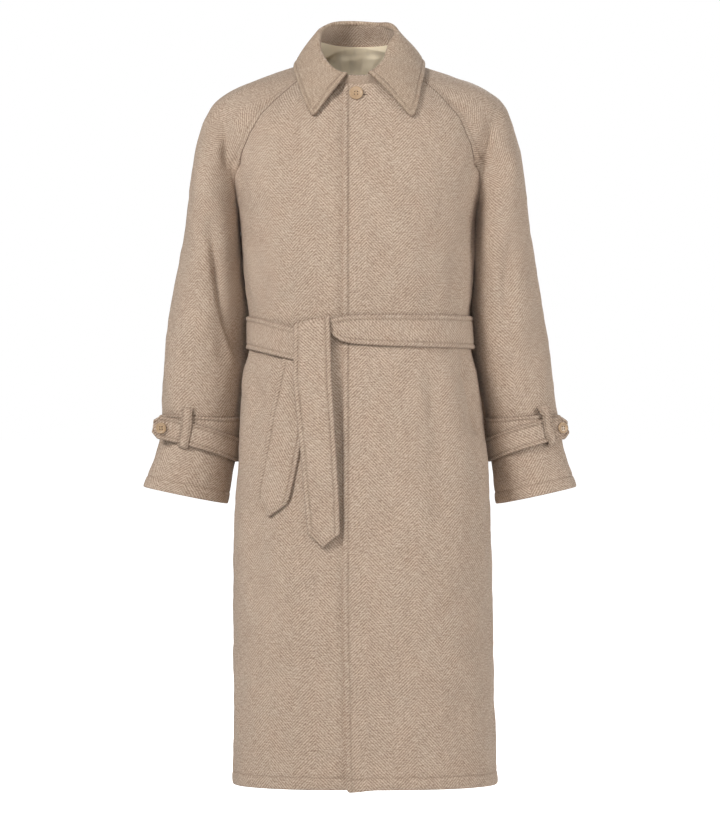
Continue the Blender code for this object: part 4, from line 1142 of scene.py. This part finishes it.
def make_lining():
    """Wrinkled satin inside the back neck, from the stand down over the back and the sleeves' tops."""
    rows = PANEL_ROWS <= LINING_DOWN_TO
    count = np.count_nonzero(rows)
    half = slice(SLEEVE_COLUMNS // 2, -1)
    spans = (("sleeve_right", half, 1), ("back", slice(1, -1), 1), ("sleeve_left", half, -1))
    grid = np.concatenate([SHAPES[name][:count, span][:, ::turn] for name, span, turn in spans], axis=1)
    out = around(grid[0])
    rise = stand_rise(out)
    climb = np.clip((LINING_TOP - grid[0, :, 2:]) / rise[:, 2:], 0, None)
    above = np.array([grid[0] + rise * climb * part for part in np.linspace(1, 0, LINING_RISE_ROWS)[:-1]])
    grid = np.array([resample(line, LINING_COLUMNS) for line in np.concatenate((above, grid))])
    grid = through(grid, np.linspace(0, len(grid) - 1, 2 * len(grid) - 1))
    for _ in range(LINING_SMOOTHING):
        grid[:, 1:-1] = (grid[:, :-2] + 2 * grid[:, 1:-1] + grid[:, 2:]) / 4
    ways = outward(grid, grid.mean(axis=1, keepdims=True))
    soft = ripple(grid * (1, 1, 0.30), 0.040, 21) - 0.8 * np.abs(ripple(grid * (0.8, 1, 0.9), 0.030, 22))
    loose = smooth(np.clip(LINING_TOP - grid[:, :, 2], 0, None) / LINING_LOOSE)
    pressed = creased(grid, ways, LINING_CREASES)
    moved = LAYER_GAP + loose * (LINING_HANG + LINING_WAVE * soft) + LINING_PRESS * pressed
    outer = grid - ways * (CLOTH + np.maximum(moved, LAYER_GAP))[:, :, None]
    along, length = lengths(grid[LINING_LINE]), lengths(grid[:, LINING_COLUMNS // 2])
    cloth = np.stack(np.broadcast_arrays(along[None], length[:, None]), axis=-1)
    # Painted shade in the lining's pressed-in creases
    dark = LINING_SHADE * np.clip(-pressed / LINING_DEEP, 0, 1)
    return shell("lining_back_neck", outer, ways, LINING_CLOTH, cloth, None, dark, SATIN)


def neck_line():
    """The neck seam, from the right front's edge round the back to the left front's edge."""
    length = body_row(FRONT, -1, 0)[1][-1]
    edge = front_edge(0) - value(FRONT, "centre", 0)
    step = edge - UNDERLAP_CLEAR
    right = joined((step,), np.linspace(step - UNDERLAP_STEP, -length, 9)) / length
    curve, along = sleeve_curve(0)
    outermost = along[2 * (ARC_POINTS - 1)]
    places = joined(np.linspace(0, outermost, 13), np.linspace(outermost, along[-1], 13)[1:])
    sleeve = pick(places, along, curve)[2:-1:4]
    lines = (
        body_points(FRONT, -1, 0, right),
        sleeve * (-1, 1, 1),
        body_points(BACK, 1, 0, np.linspace(-1, 1, 12)),
        sleeve[::-1],
        body_points(FRONT, -1, 0, np.linspace(edge / length, 1, 13))[::-1],
    )
    return np.concatenate(lines)


def around(line):
    """Level directions that point out of a line round the neck."""
    along = np.gradient(line, axis=0)
    out = unit(np.cross(along, np.array((0.0, 0.0, 1.0))))
    return out * np.sign(np.sum(out * line))


def stand_rise(out):
    """The directions in which the stand rises, leaning in to the neck."""
    lean = np.where(out[:, :1] > 0, STAND_LEAN_LEFT, STAND_LEAN_RIGHT) * np.abs(out[:, :1])
    return unit(STAND_UP - out * lean)


def make_stand():
    """The band that stands on the neck seam. Returns its top line and the directions there."""
    line = neck_line()
    out = around(line)
    spread = np.linspace(-1, 1, len(line))
    spread = np.where(spread > 0, spread / STAND_LEFT_END, -spread)
    heights = np.interp(spread, STAND_FRACTIONS, STAND_HEIGHTS)[:, None]
    rise = stand_rise(out)
    away = unit(out - rise * np.sum(out * rise, axis=1, keepdims=True))
    top = line + rise * (SEAM_GAP * 1.5 + heights)
    top[:, 0] -= STAND_LEAN_IN * smooth(-top[:, 1] / 0.05) * smooth((top[:, 0] - 0.005) / 0.03)
    top[:, 2] += STAND_EVEN * np.exp(-(((top[:, 0] - 0.042) / 0.02) ** 2)) * smooth(top[:, 1] / 0.02)
    for _ in range(STAND_SMOOTHING):
        top[1:-1] = (top[:-2] + 2 * top[1:-1] + top[2:]) / 4
    low_line = even_curve(line - rise * STAND_BELOW - away * STAND_INSET, STAND_COLUMNS)
    high_line = even_curve(top, STAND_COLUMNS)
    from_end = lengths(high_line[::-1])[::-1]
    high_line[:, 0] += STAND_SLANT * smooth(1 - from_end / STAND_SLANT_FROM)
    tuck = np.linspace(1, 0, 4)[:-1, None] * STAND_TUCK
    low_line, high_line = (np.concatenate((edge[:1] + tuck, edge)) for edge in (low_line, high_line))
    low_line[:STAND_TUCK_COLUMNS, 2] -= STAND_TUCK_DOWN
    parts = np.linspace(0, 1, STAND_ROWS)[:, None, None]
    grid = low_line * (1 - parts) + high_line * parts
    ways = unit(even_curve(away, STAND_COLUMNS))
    ways = np.concatenate((ways[:1] + 0 * tuck, ways))[None] + 0 * grid
    along = lengths(high_line)
    up = parts[:, :, 0]
    cloth = np.stack((along + 0 * up, STAND_FLAT_HEIGHT * up + 0 * along), axis=-1)
    grid = grid + ways * (RIPPLE * 0.7 * ripple(grid, 0.05, 31))[:, :, None]
    swell = smooth((parts - STAND_SWELL_FROM) / (1 - STAND_SWELL_FROM))
    wall = CLOTH + STAND_SWELL * swell + 0 * grid[:, :, :1]
    shell("collar_stand", grid, ways, wall, cloth)
    return top, rise, away


def resample(line, count):
    length = lengths(line)
    return pick(np.linspace(0, length[-1], count), length, line)


def leaf_edge_line():
    """The leaf's outer edge, from its right point round the back to its left point."""
    right, left = (np.stack([LEAF_EDGE[name] for name in (side, "y", "z")], axis=1)
                   for side in ("right_x", "left_x"))
    return even_curve(np.concatenate((right, left[-2::-1])), LEAF_COLUMNS + 1)


def make_leaf(top, rise, out):
    """The turned-down collar: over the stand's top edge and down to its own edge."""
    finer = np.linspace(0, len(top) - 1, 8 * len(top))
    top, rise, out = (through(line, finer) for line in (top, rise, out))
    ends = [len(top) - np.argmax(top[::-1, 0] > end) for end in (LEAF_RIGHT_END_X, LEAF_LEFT_END_X)]
    kept = joined((ends[0] - 1,), np.arange(ends[1]))
    length = lengths(top[kept])
    places = np.linspace(0, length[-1], LEAF_COLUMNS + 1)
    start, up, away = (pick(places, length, line[kept]) for line in (top, rise, out))
    edge = rest_on(leaf_edge_line(), LEAF_EDGE_GAP + LEAF_EDGE_LIFT, True)
    wide = lengths(edge)[-1]
    columns = from_edges(wide, EDGE_STEPS, LEAF_FINE_COLUMNS) / wide * LEAF_COLUMNS
    start, up, away, edge = (through(line, columns) for line in (start, up, away, edge))
    up, away = unit(up), unit(away)
    start = start - away * CLOTH / 2 + up * SEAM_GAP
    level, drop = (np.sum((edge - start) * way, axis=1, keepdims=True) for way in (away, up))
    turned = np.arctan2(level, -drop)
    over = np.cos(turned) * away + np.sin(turned) * up
    rows = [start + away * off - up * below for off, below in LEAF_START]
    for angle in np.linspace(np.full_like(turned, math.pi), turned, ROLL_STEPS):
        rows.append(start + ROLL * (np.cos(angle) * away + np.sin(angle) * up))
    rolled = len(rows)
    tall = np.linalg.norm(edge - start, axis=1)
    steps = np.array(EDGE_STEPS)[:, None] + 0 * tall
    down = np.concatenate((np.linspace(tall, steps[-1], LEAF_FINE_ROWS)[1:], steps[-2::-1]))
    part = (1 - down / tall)[:, :, None]
    bulge = ROLL * (1 - part) + LEAF_BULGE * np.sin(math.pi * part)
    falls = start * (1 - part) + edge * part + over * bulge
    grid = np.concatenate((rows, falls))
    gone = np.linalg.norm(np.diff(rows, axis=0), axis=2)[::-1].cumsum(axis=0)[::-1]
    fall = np.concatenate((tall + gone, tall[None], down))
    inside = start - up * LEAF_INSIDE
    aside = np.array([lengths(line) for line in grid])
    rising = unit(grid[-LEAF_NEAR] - grid[-1])
    for ends, near, end in ((aside, LEAF_NEAR, 0), (aside[:, -1:] - aside, -1 - LEAF_NEAR, -1)):
        inward = unit(grid[:, near] - grid[:, end])[:, None]
        grid = round_corner(grid, fall, ends, rising, inward, LEAF_CORNER)
    grid[rolled:] = rest_on(grid[rolled:], LEAF_GAP)
    ways = outward(grid, inside)
    ends = np.minimum(aside, aside[:, -1:] - aside)
    nearest = np.minimum(fall, ends)
    moved = sewn_edge(nearest, EDGE_STITCH, COLLAR_CLOTH)
    moved += RIPPLE * ripple(grid, 0.06, 41)
    cloth = np.stack((aside - aside[:, aside.shape[1] // 2, None], fall), axis=-1)
    outer = grid + ways * (COLLAR_CLOTH + moved)[:, :, None]
    wall = COLLAR_CLOTH + np.minimum(moved, 0)[:, :, None]
    # Painted shade along the leaf's sewing line and at its edges
    dark = GROOVE_SHADE * groove(nearest, EDGE_STITCH) + EDGE_SHADE * np.exp(-((nearest / EDGE_DARK) ** 2))
    shell("collar_leaf", outer, ways, wall, cloth, None, dark, NAPPED)
    return outer, ways


def strip_parts(width, steps, count):
    """Places across a strip as parts of its width."""
    return from_edges(width, steps, count) / width


def finish_strip(node, under, ways, width, parts, thickness, stitch):
    """A sewn strip over its underside: rounded edges, sewing lines with painted shade along them and at its
    edges, and its cloth places.
    """
    spans = np.linalg.norm(under[:, -1] - under[:, 0], axis=1)[:, None]
    edge = np.minimum(parts, 1 - parts)[None] * spans
    along = lengths(under.mean(axis=1))
    ends = np.minimum(along, along[-1] - along)[:, None]
    moved = sewn_edge(edge, stitch, thickness) + 0.7 * RIPPLE * ripple(under, 0.045, 51)
    moved = moved + rounded(ends, EDGE_ROUND, thickness / 3)
    outer = under + ways * (thickness + moved)[:, :, None]
    across = STRIPE_START + STRIPE / 2 + (parts[None] - 0.5) * spans
    cloth = np.stack(np.broadcast_arrays(across, -along[:, None]), axis=-1)
    lower = rounded(edge, EDGE_ROUND, thickness / 3)
    # The last argument is painted shade along the sewing lines and at the edges
    shell(node, outer, ways, (thickness + moved + lower)[:, :, None], cloth, None,
          GROOVE_SHADE * groove(edge, stitch) + EDGE_SHADE * np.exp(-((edge / EDGE_DARK) ** 2)))
    return outer


BELT_PARTS = strip_parts(BELT_WIDTH, EDGE_STEPS, 7)
STRAP_STEPS = tuple(step * 0.75 for step in EDGE_STEPS)
STRAP_PARTS = strip_parts(STRAP_WIDTH, STRAP_STEPS, 5)


KNOT_CURVE = table(
    "x above below",
    (-0.0640, 0.0150, 0.0000), (-0.0520, 0.0180, 0.0004), (-0.0470, 0.0190, 0.0015),
    (-0.0440, 0.0196, 0.0044), (-0.0405, 0.0204, 0.0080), (-0.0360, 0.0214, 0.0116),
    (-0.0300, 0.0228, 0.0158), (-0.0217, 0.0244, 0.0196), (-0.0120, 0.0256, 0.0208),
    (0.0000, 0.0264, 0.0214), (0.0500, 0.0265, 0.0240), (0.1500, 0.0265, 0.0265),
)


def belt_heights(x, in_front):
    """Heights across the belt: it dips to the knot on one side and is pinched on the other."""
    top, low = BELT_HEIGHT + BELT_WIDTH / 2, BELT_HEIGHT - BELT_WIDTH / 2
    if in_front and x < KNOT_X:
        dip = BELT_DIP * np.clip((x - BELT_DIP_FROM) / (BELT_DIP_TO - BELT_DIP_FROM), 0, 1)
        top, low = top - dip, low - dip
    if in_front and x > KNOT_X:
        top = BELT_HEIGHT + np.interp(x, KNOT_CURVE["x"], KNOT_CURVE["above"])
        low = BELT_HEIGHT - np.interp(x, KNOT_CURVE["x"], KNOT_CURVE["below"])
    return top + (low - top) * BELT_PARTS


def belt_lift(point):
    """How far the band's inner side stands off the coat."""
    if point[1] > 0:
        return BELT_GAP
    left = smooth((point[0] - KNOT_LIFT_LEFT[0]) / (KNOT_LIFT_LEFT[1] - KNOT_LIFT_LEFT[0]))
    right = smooth((point[0] - KNOT_LIFT_RIGHT[0]) / (KNOT_LIFT_RIGHT[1] - KNOT_LIFT_RIGHT[0]))
    return BELT_GAP + (KNOT_LIFT - BELT_GAP) * min(left, right)


def make_belt():
    """The band round the waist, from the knot's right side round the back to its left side."""
    under, ways = [], []

    def add(points, normals):
        under.append(points)
        ways.append(normals)

    for x in np.arange(KNOT_X + KNOT_GAP, EDGE_X, KNOT_STEP):
        add(*laid((x, z) for z in belt_heights(x, True)))
    for name, backwards in (("front_left", False), ("back", True), ("front_right", True)):
        grid, normals = SHAPES[name], WAYS[name]
        last = grid.shape[1] - (2 if name == "back" else 1)
        order = range(last, -1, -1) if backwards else range(len(EDGE_STEPS), grid.shape[1])
        for column in order:
            line = grid[:, column]
            x = np.interp(-BELT_HEIGHT, -line[:, 2], line[:, 0])
            if name == "front_right" and x > KNOT_X - KNOT_GAP:
                continue
            heights = belt_heights(x, name != "back")
            add(*(pick(-heights, -line[:, 2], given) for given in (line, normals[:, column])))
            ways[-1] = unit(ways[-1])
    add(*laid((KNOT_X - KNOT_GAP, z) for z in belt_heights(KNOT_X - KNOT_GAP, True)))
    under, ways = np.array(under), np.array(ways)
    lift = np.array([[belt_lift(point) for point in column] for column in under])
    under = under + ways * lift[:, :, None]
    outer = finish_strip("belt_band", under, ways, BELT_WIDTH, BELT_PARTS, BELT_CLOTH, EDGE_STITCH)
    return outer, ways


def hanging_end(node, rows):
    """A belt end: a strip laid over the fronts, lifted as its table says."""
    data = np.stack(list(rows.values()), axis=1)
    flat = lengths(data[:, (0, 1)])
    fine = [data[0]]
    for start, end, span in zip(data, data[1:], np.diff(flat)):
        count = max(2, math.ceil(span / FINE))
        fine += [start + (end - start) * step / count for step in range(1, count + 1)]
    fine = np.array(fine)
    for _ in range(END_SMOOTHING):
        fine[1:-9] = (fine[:-10] + 2 * fine[1:-9] + fine[2:-8]) / 4
    under, ways = [], []
    for left_x, left_z, right_x, right_z, lift in fine:
        points, normals = laid((left_x + (right_x - left_x) * part, left_z + (right_z - left_z) * part)
                               for part in BELT_PARTS)
        under.append(points + normals * lift)
        ways.append(normals)
    under, ways = np.array(under), np.array(ways)
    bent = outward(under, under - ways)
    bent *= np.sign(np.sum(bent[-4] * ways[-4]))
    return finish_strip(node, under, bent, BELT_WIDTH, BELT_PARTS, BELT_CLOTH, EDGE_STITCH), bent


def on_sleeve(hand, column, shifts):
    """Points of one sleeve column at distances along the arm from the strap's middle."""
    turn = round(column * SLEEVE_COLUMNS / SLEEVE_STEPS) % SLEEVE_COLUMNS
    line, line_ways = SHAPES["even_" + hand][RING:, turn], WAYS["even_" + hand][RING:, turn]
    length = lengths(line)
    places = np.interp(STRAP_ROW, SLEEVE_ROWS[RING:], length) + np.asarray(shifts)
    return pick(places, length, line), unit(pick(places, length, line_ways))


def make_strap(hand):
    """A strap that starts at the front, goes round the arm and comes back over itself."""
    over = LAYER_GAP * 2 + STRAP_CLOTH
    half = (STRAP_PARTS - 0.5) * STRAP_WIDTH
    per_column = SLEEVE_COLUMNS // SLEEVE_STEPS
    under, out = [], []
    for step in range(STRAP_START * per_column, STRAP_LEAVES[hand] * per_column + 1):
        column = step / per_column
        shift = np.interp(column, STRAP_SHIFT_AT, STRAP_SHIFTS)
        points, normals = on_sleeve(hand, column, shift + half)
        climb = smooth((column - STRAP_CLIMB[0]) / (STRAP_CLIMB[1] - STRAP_CLIMB[0]))
        under.append(points + normals * (LAYER_GAP + (over - LAYER_GAP) * climb))
        out.append(normals)
    leaving, leaving_ways = under[-1], out[-1]
    middle = (leaving[0] + leaving[-1]) / 2
    across = leaving - middle
    along = unit(unit(leaving - under[-1 - per_column]).mean(axis=0) + (0, 0, STRAP_TAIL_RISE))
    facing = unit(np.cross(along, leaving[-1] - leaving[0]))
    facing = facing * np.sign(facing @ leaving_ways[len(half) // 2])
    reach, widths = zip((0.0, 1.0), *STRAP_TAIL[hand])
    for distance in joined(np.arange(0.004, reach[-1] - 0.006, 0.004), reach[-1] - TAIL_STEPS):
        width = np.interp(distance, reach, widths)
        turned = smooth(distance / TAIL_TURN)
        under.append(middle + across * width + along * distance)
        out.append(unit(facing * turned + leaving_ways * (1 - turned)))
    under, out = np.array(under), np.array(out)
    outer = finish_strip(
        "cuff_strap_" + hand, under, out, STRAP_WIDTH, STRAP_PARTS, STRAP_CLOTH, STRAP_STITCH)
    return middle + along * STRAP_BUTTON[hand] + facing * (STRAP_CLOTH + LAYER_GAP), facing, outer, out


def make_loop(hand):
    """The cloth loop that stands over both turns of the strap."""
    top = LAYER_GAP * 3 + STRAP_CLOTH * 2
    reach, lifts = zip(*LOOP_PROFILE)
    columns = np.linspace(*LOOP_COLUMNS[hand], SLEEVE_COLUMNS // SLEEVE_STEPS + 1)
    under, out = [], []
    for part in LOOP_PLACES:
        across = columns + LOOP_SLANT[hand] * part
        found = [on_sleeve(hand, column, (part * LOOP_HALF - LOOP_UP,)) for column in across]
        points = np.concatenate([item[0] for item in found])
        normals = np.concatenate([item[1] for item in found])
        places = columns[0] + (columns[-1] - columns[0]) * LOOP_PARTS
        apart = places + LOOP_SLANT[hand] * part + SLEEVE_STEPS - STRAP_LEAVES[hand]
        apart = np.clip(apart, 0, None)[:, None]
        lift = LAYER_GAP + (top + LOOP_LEAVES * apart ** 2 - LAYER_GAP) * np.interp(part, reach, lifts)
        normals = unit(pick(places, columns, normals))
        under.append(pick(places, columns, points) + normals * lift)
        out.append(normals)
    under, out = np.array(under), np.array(out)
    bent = outward(under, under - out)
    finish_strip("cuff_loop_" + hand, under, bent, LOOP_WIDTH, LOOP_PARTS, LOOP_CLOTH, LOOP_STITCH)


def make_button(name, seat, facing, radius):
    """A turned button: a raised rim round a dish with four holes, sewn on with thread; the thread in the
    holes is made dark as painted shade of the holes.
    """
    thick, dish = BUTTON_THICKNESS, BUTTON_THICKNESS - BUTTON_DISH
    profile = (
        (0.0, 0.0), (0.80, 0.0), (0.90, 0.04), (0.97, 0.22), (1.0, 0.48), (0.985, 0.74), (0.945, 0.92),
        (0.88, 1.0), (0.81, 0.98), (0.74, 0.88), (0.68, 0.74), (0.61, dish / thick), (0.3, dish / thick),
        (0.0, dish / thick),
    )
    shape = bmesh.new()
    points = [shape.verts.new((x * radius, 0.0, z * thick)) for x, z in profile]
    edges = [shape.edges.new(pair) for pair in zip(points, points[1:])]
    bmesh.ops.spin(
        shape, geom=points + edges, axis=(0, 0, 1), cent=(0, 0, 0),
        angle=2 * math.pi, steps=BUTTON_SIDES, use_merge=True,
    )
    bmesh.ops.remove_doubles(shape, verts=shape.verts, dist=SAME_POINT)
    bmesh.ops.recalc_face_normals(shape, faces=shape.faces)
    mesh = bpy.data.meshes.new(name)
    shape.to_mesh(mesh)
    shape.free()
    spread = radius * BUTTON_HOLE_SPREAD
    corners = [(x * spread, y * spread) for x in (-1, 1) for y in (-1, 1)]
    turn = Vector(facing).to_track_quat("Z", "Y").to_matrix().to_4x4()
    mesh = with_holes(mesh, corners, thick)
    mesh.transform(Matrix.Translation(seat) @ turn)
    mesh.shade_smooth()
    mesh.set_sharp_from_angle(angle=math.radians(40))
    add_piece(name + "_horn", mesh, HORN, name)
    # Dark plugs just below the dish: partly the thread, partly painted shade in the holes
    pegs = [[(x, y, dish - depth) for depth in PEG_DEPTHS] for x, y in corners]
    pegs = [np.array([turn @ Vector(point) for point in peg]) + seat for peg in pegs]
    aside = turn.to_3x3() @ Vector((1, 0, 0))
    tubes(name + "_thread", pegs, aside, BUTTON_HOLE * PEG_FILL, THREAD_AND_HOLE_SHADE)


def with_holes(mesh, corners, thick):
    """The mesh with a round hole cut at each corner."""
    shape = bmesh.new()
    for x, y in corners:
        made = bmesh.ops.create_cone(
            shape, cap_ends=True, segments=14, radius1=BUTTON_HOLE, radius2=BUTTON_HOLE, depth=thick * 4)
        bmesh.ops.translate(shape, verts=made["verts"], vec=(x, y, 0))
    pins = bpy.data.meshes.new("pins")
    shape.to_mesh(pins)
    shape.free()
    item, cutter = (bpy.data.objects.new(given.name + "_cut", given) for given in (mesh, pins))
    for thing in (item, cutter):
        bpy.context.scene.collection.objects.link(thing)
    cut = item.modifiers.new("holes", "BOOLEAN")
    cut.object = cutter
    cut.operation = "DIFFERENCE"
    result = bpy.data.meshes.new_from_object(item.evaluated_get(bpy.context.evaluated_depsgraph_get()))
    for thing in (item, cutter):
        bpy.data.objects.remove(thing)
    return result


def thread_piece(name, vertices, faces, material):
    mesh = bpy.data.meshes.new(name)
    mesh.from_pydata([tuple(point) for point in vertices], [], faces)
    mesh.shade_smooth()
    add_piece(name, mesh, material)


def tubes(name, lines, facing, radius, material):
    """Thin closed tubes along lines of points, as one piece."""
    sides = 6
    vertices, faces = [], []
    for line in lines:
        along = unit(np.gradient(line, axis=0))
        aside = unit(np.cross(along, facing))
        over = np.cross(aside, along)
        first = len(vertices)
        for point, one, other in zip(line, aside, over):
            for turn in range(sides):
                angle = 2 * math.pi * turn / sides
                vertices.append(point + radius * (math.cos(angle) * one + math.sin(angle) * other))
        for ring in range(len(line) - 1):
            for turn in range(sides):
                here, beside = first + ring * sides + turn, first + ring * sides + (turn + 1) % sides
                faces.append((here, beside, beside + sides, here + sides))
        faces.append(tuple(range(first + sides - 1, first - 1, -1)))
        faces.append(tuple(range(len(vertices) - sides, len(vertices))))
    thread_piece(name, vertices, faces, material)


def stitches(name, *runs):
    """Short stitches along lines on a surface, set partly down into it, each with its surface's directions.
    """
    vertices, faces = [], []
    for line, ways in runs:
        length = lengths(line)
        for middle in np.arange(STITCH_PITCH / 2, length[-1] - STITCH_PITCH / 2, STITCH_PITCH):
            places = middle + STITCH_PLACES * STITCH_LENGTH
            points, up = pick(places, length, line), unit(pick(places, length, ways))
            along = unit(points[-1] - points[0])
            aside = unit(np.cross(up, along)) * STITCH_WIDTH / 2
            first = len(vertices)
            for point, one, other, size, lift in zip(points, aside, up, STITCH_SIZES, STITCH_LIFTS):
                top = point + other * (STITCH_RISE * lift + STITCH_BASE)
                low = point - other * STITCH_RISE
                wide, narrow = one * size, one * size * STITCH_NARROW
                vertices += [low - wide, top - narrow, top + narrow, low + wide]
            for ring in range(3):
                for turn in range(4):
                    here, beside = first + ring * 4 + turn, first + ring * 4 + (turn + 1) % 4
                    faces.append((here, here + 4, beside + 4, beside))
            faces.append((first, first + 1, first + 2, first + 3))
            faces.append((first + 15, first + 14, first + 13, first + 12))
    thread_piece(name, vertices, faces, THREAD)


# Strap tails, loops and stitches, and the points on which sewing lines lie
TAIL_STEPS = np.array((0.0048, 0.0024, 0.0011, 0.0004, 0.0))
TAIL_TURN = 0.016
STRAP_STITCH = 0.0060
LOOP_WIDTH = 0.016
LOOP_LEAVES = 0.003
LOOP_STITCH = 0.0035
LOOP_PARTS = np.array((0, 0.03, 0.09, 0.18, 0.3, 0.5, 0.7, 0.82, 0.91, 0.97, 1.0))
LOOP_PLACES = np.linspace(-1, 1, 45)
STITCH_PITCH = 0.0042
STITCH_LENGTH = 0.0029
STITCH_WIDTH = 0.0009
STITCH_RISE = 0.0003
STITCH_BASE = 0.0001
STITCH_NARROW = 0.6
STITCH_PLACES = np.array((-0.5, -0.3, 0.3, 0.5))
STITCH_SIZES = (0.5, 1, 1, 0.5)
STITCH_LIFTS = (0.0, 1, 1, 0.0)
EDGE_LINE = EDGE_STEPS.index(EDGE_STITCH)
SEAM_LINE = SEAM_STEPS.index(SEAM_STITCH)
HEM_LINE = -1 - HEM_STEPS.index(HEM_STITCH)
LEAF_STITCH_FROM = 14
ALL = slice(None)

make_lining()
LEAF = make_leaf(*make_stand())
BELTS = {"band": make_belt()}
for name, rows in (("end_front", FRONT_END), ("end_back", BACK_END)):
    BELTS[name] = hanging_end("belt_" + name, rows)
STRAPS = {}
for hand in ("left", "right"):
    seat, facing, *STRAPS[hand] = make_strap(hand)
    make_loop(hand)
    make_button("button_cuff_" + hand, seat, facing, CUFF_BUTTON_RADIUS)
neck_seat, neck_facing = front_surface(NECK_BUTTON_X, NECK_BUTTON_Z)
neck_seat = neck_seat + neck_facing * NECK_BUTTON_LIFT
make_button("button_neck", neck_seat, unit(neck_facing + (0, -1, 0)), NECK_BUTTON_RADIUS)


BUTTONHOLE_END = 0.0172
BUTTONHOLE_HALF = 0.0016
BUTTONHOLE_DROP = 0.0012
BUTTONHOLE_ROUND = 1.15
SLIT_PART = 0.95
RIM_RADIUS = 0.0007
SLIT_RADIUS = 0.0009


def make_buttonhole():
    """The sewn slit that the neck button goes through: thread all round it, and in it a dark tube that is
    painted shade of the opening.
    """
    half = (BUTTONHOLE_END - NECK_BUTTON_X) / 2
    middle = NECK_BUTTON_X + half
    turns = np.linspace(0, 2 * math.pi, 49)
    level = [np.clip(BUTTONHOLE_ROUND * math.cos(turn), -1, 1) for turn in turns]
    rim = [(middle + half * part, BUTTONHOLE_HALF * math.sin(turn)) for part, turn in zip(level, turns)]
    slit = [(middle + half * SLIT_PART * part, 0.0) for part in np.linspace(-1, 1, 13)]
    # The slit's dark tube is painted shade of the opening; the rim is thread
    lines = (("rim", rim, RIM_RADIUS, THREAD), ("slit", slit, SLIT_RADIUS, THREAD_AND_HOLE_SHADE))
    for name, line, radius, material in lines:
        points, ways = laid((x, NECK_BUTTON_Z - BUTTONHOLE_DROP + z) for x, z in line)
        tubes("buttonhole_" + name, [points], ways[0], radius, material)


make_buttonhole()


def run(grid, ways, rows, columns):
    """A line of a grid's points along a row or a column, with its directions."""
    return grid[rows, columns], ways[rows, columns]


def both_edges(grid, ways, line, rows=ALL):
    """The sewing lines beside a grid's first and last columns."""
    return [run(grid, ways, rows, column) for column in (line, -1 - line)]


LEFT, RIGHT, BEHIND = ((PANELS[name], WAYS[name]) for name in ("front_left", "front_right", "back"))
stitches("stitches_front_left", run(*LEFT, ALL, EDGE_LINE), run(*LEFT, HEM_LINE, ALL))
stitches("stitches_front_right", run(*RIGHT, HEM_LINE, slice(UNDERLAP_POINTS - 1, None)))
stitches("stitches_back", run(*BEHIND, HEM_LINE, ALL))
for hand in ("left", "right"):
    sleeve = PANELS["sleeve_" + hand], WAYS["sleeve_" + hand]
    stitches("stitches_sleeve_" + hand, run(*sleeve, HEM_LINE, ALL),
             *both_edges(*sleeve, SEAM_LINE, slice(0, RING)))
    stitches("stitches_strap_" + hand, *both_edges(*STRAPS[hand], EDGE_LINE))
stitches("stitches_leaf", run(*LEAF, -1 - EDGE_LINE, slice(EDGE_LINE, -EDGE_LINE)),
         *both_edges(*LEAF, EDGE_LINE, slice(LEAF_STITCH_FROM, -EDGE_LINE)))
for name, strip in BELTS.items():
    stitches("stitches_belt_" + name, *both_edges(*strip, EDGE_LINE))

# Camera, lights, room and floor
camera = bpy.data.objects.new("camera", bpy.data.cameras.new("camera"))
camera.location = (0.0, -CAMERA_DISTANCE, CAMERA_HEIGHT)
camera.rotation_euler = (math.radians(90), 0, 0)
camera.data.sensor_width = SENSOR
camera.data.lens = SENSOR * CAMERA_DISTANCE / (IMAGE_HEIGHT * PIXEL)
bpy.context.scene.collection.objects.link(camera)
bpy.context.scene.camera = camera
bpy.context.scene.view_settings.view_transform = "Standard"


def light(name, place, target, size, power, cone=None):
    lamp = bpy.data.lights.new(name, "SPOT" if cone else "AREA")
    lamp.energy = power
    if cone:
        lamp.spot_size, lamp.spot_blend, lamp.shadow_soft_size = math.radians(cone), 1.0, size
    else:
        lamp.shape, lamp.size = "DISK", size
    item = bpy.data.objects.new(name, lamp)
    item.location = place
    item.rotation_euler = (Vector(target) - Vector(place)).to_track_quat("-Z", "Y").to_euler()
    bpy.context.scene.collection.objects.link(item)


light("key", (-2.5, -3.0, 1.9), (0, 0, -0.20), 1.3, 138)
light("side", (3.6, -1.4, 0.2), (0, 0, -0.45), 1.6, 56)
light("fill", (0.1, -4.2, 1.1), (0, 0, 0.05), 1.6, 38)
light("neck", (0, -4.5, 0.7), (0, 0.06, 0.054), 0.1, 430, 1.9)
light("back", (1.2, 4.2, 1.6), (0, 0, -0.45), 1.8, 130)

ROOM_LIGHT = 0.195
world = bpy.data.worlds.new("studio")
world.use_nodes = True
bpy.context.scene.world = world
tree = world.node_tree
seen = tree.nodes.new("ShaderNodeLightPath").outputs["Is Camera Ray"]
strength = math_node(tree, "MULTIPLY_ADD", seen, 1 - ROOM_LIGHT, ROOM_LIGHT)
tree.links.new(strength, tree.nodes["Background"].inputs["Strength"])
tree.nodes["Background"].inputs["Color"].default_value = (1, 1, 1, 1)

floor_mesh = bpy.data.meshes.new("floor")
floor_corners = [(x * FLOOR_HALF, y * FLOOR_HALF, FLOOR) for x, y in ((-1, -1), (1, -1), (1, 1), (-1, 1))]
floor_mesh.from_pydata(floor_corners, [], [(0, 1, 2, 3)])
floor_paint, floor_tree, floor_shader = new_material("floor", 0.9)
floor_shader.inputs["Base Color"].default_value = (0.85, 0.85, 0.85, 1)
floor_shader.inputs["Emission Color"].default_value = (1, 1, 1, 1)
seen = floor_tree.nodes.new("ShaderNodeLightPath").outputs["Is Camera Ray"]
floor_tree.links.new(math_node(floor_tree, "MULTIPLY", seen, 1.0), floor_shader.inputs["Emission Strength"])
floor_mesh.materials.append(floor_paint)
floor = bpy.data.objects.new("floor", floor_mesh)
bpy.context.scene.collection.objects.link(floor)
floor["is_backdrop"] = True

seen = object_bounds()
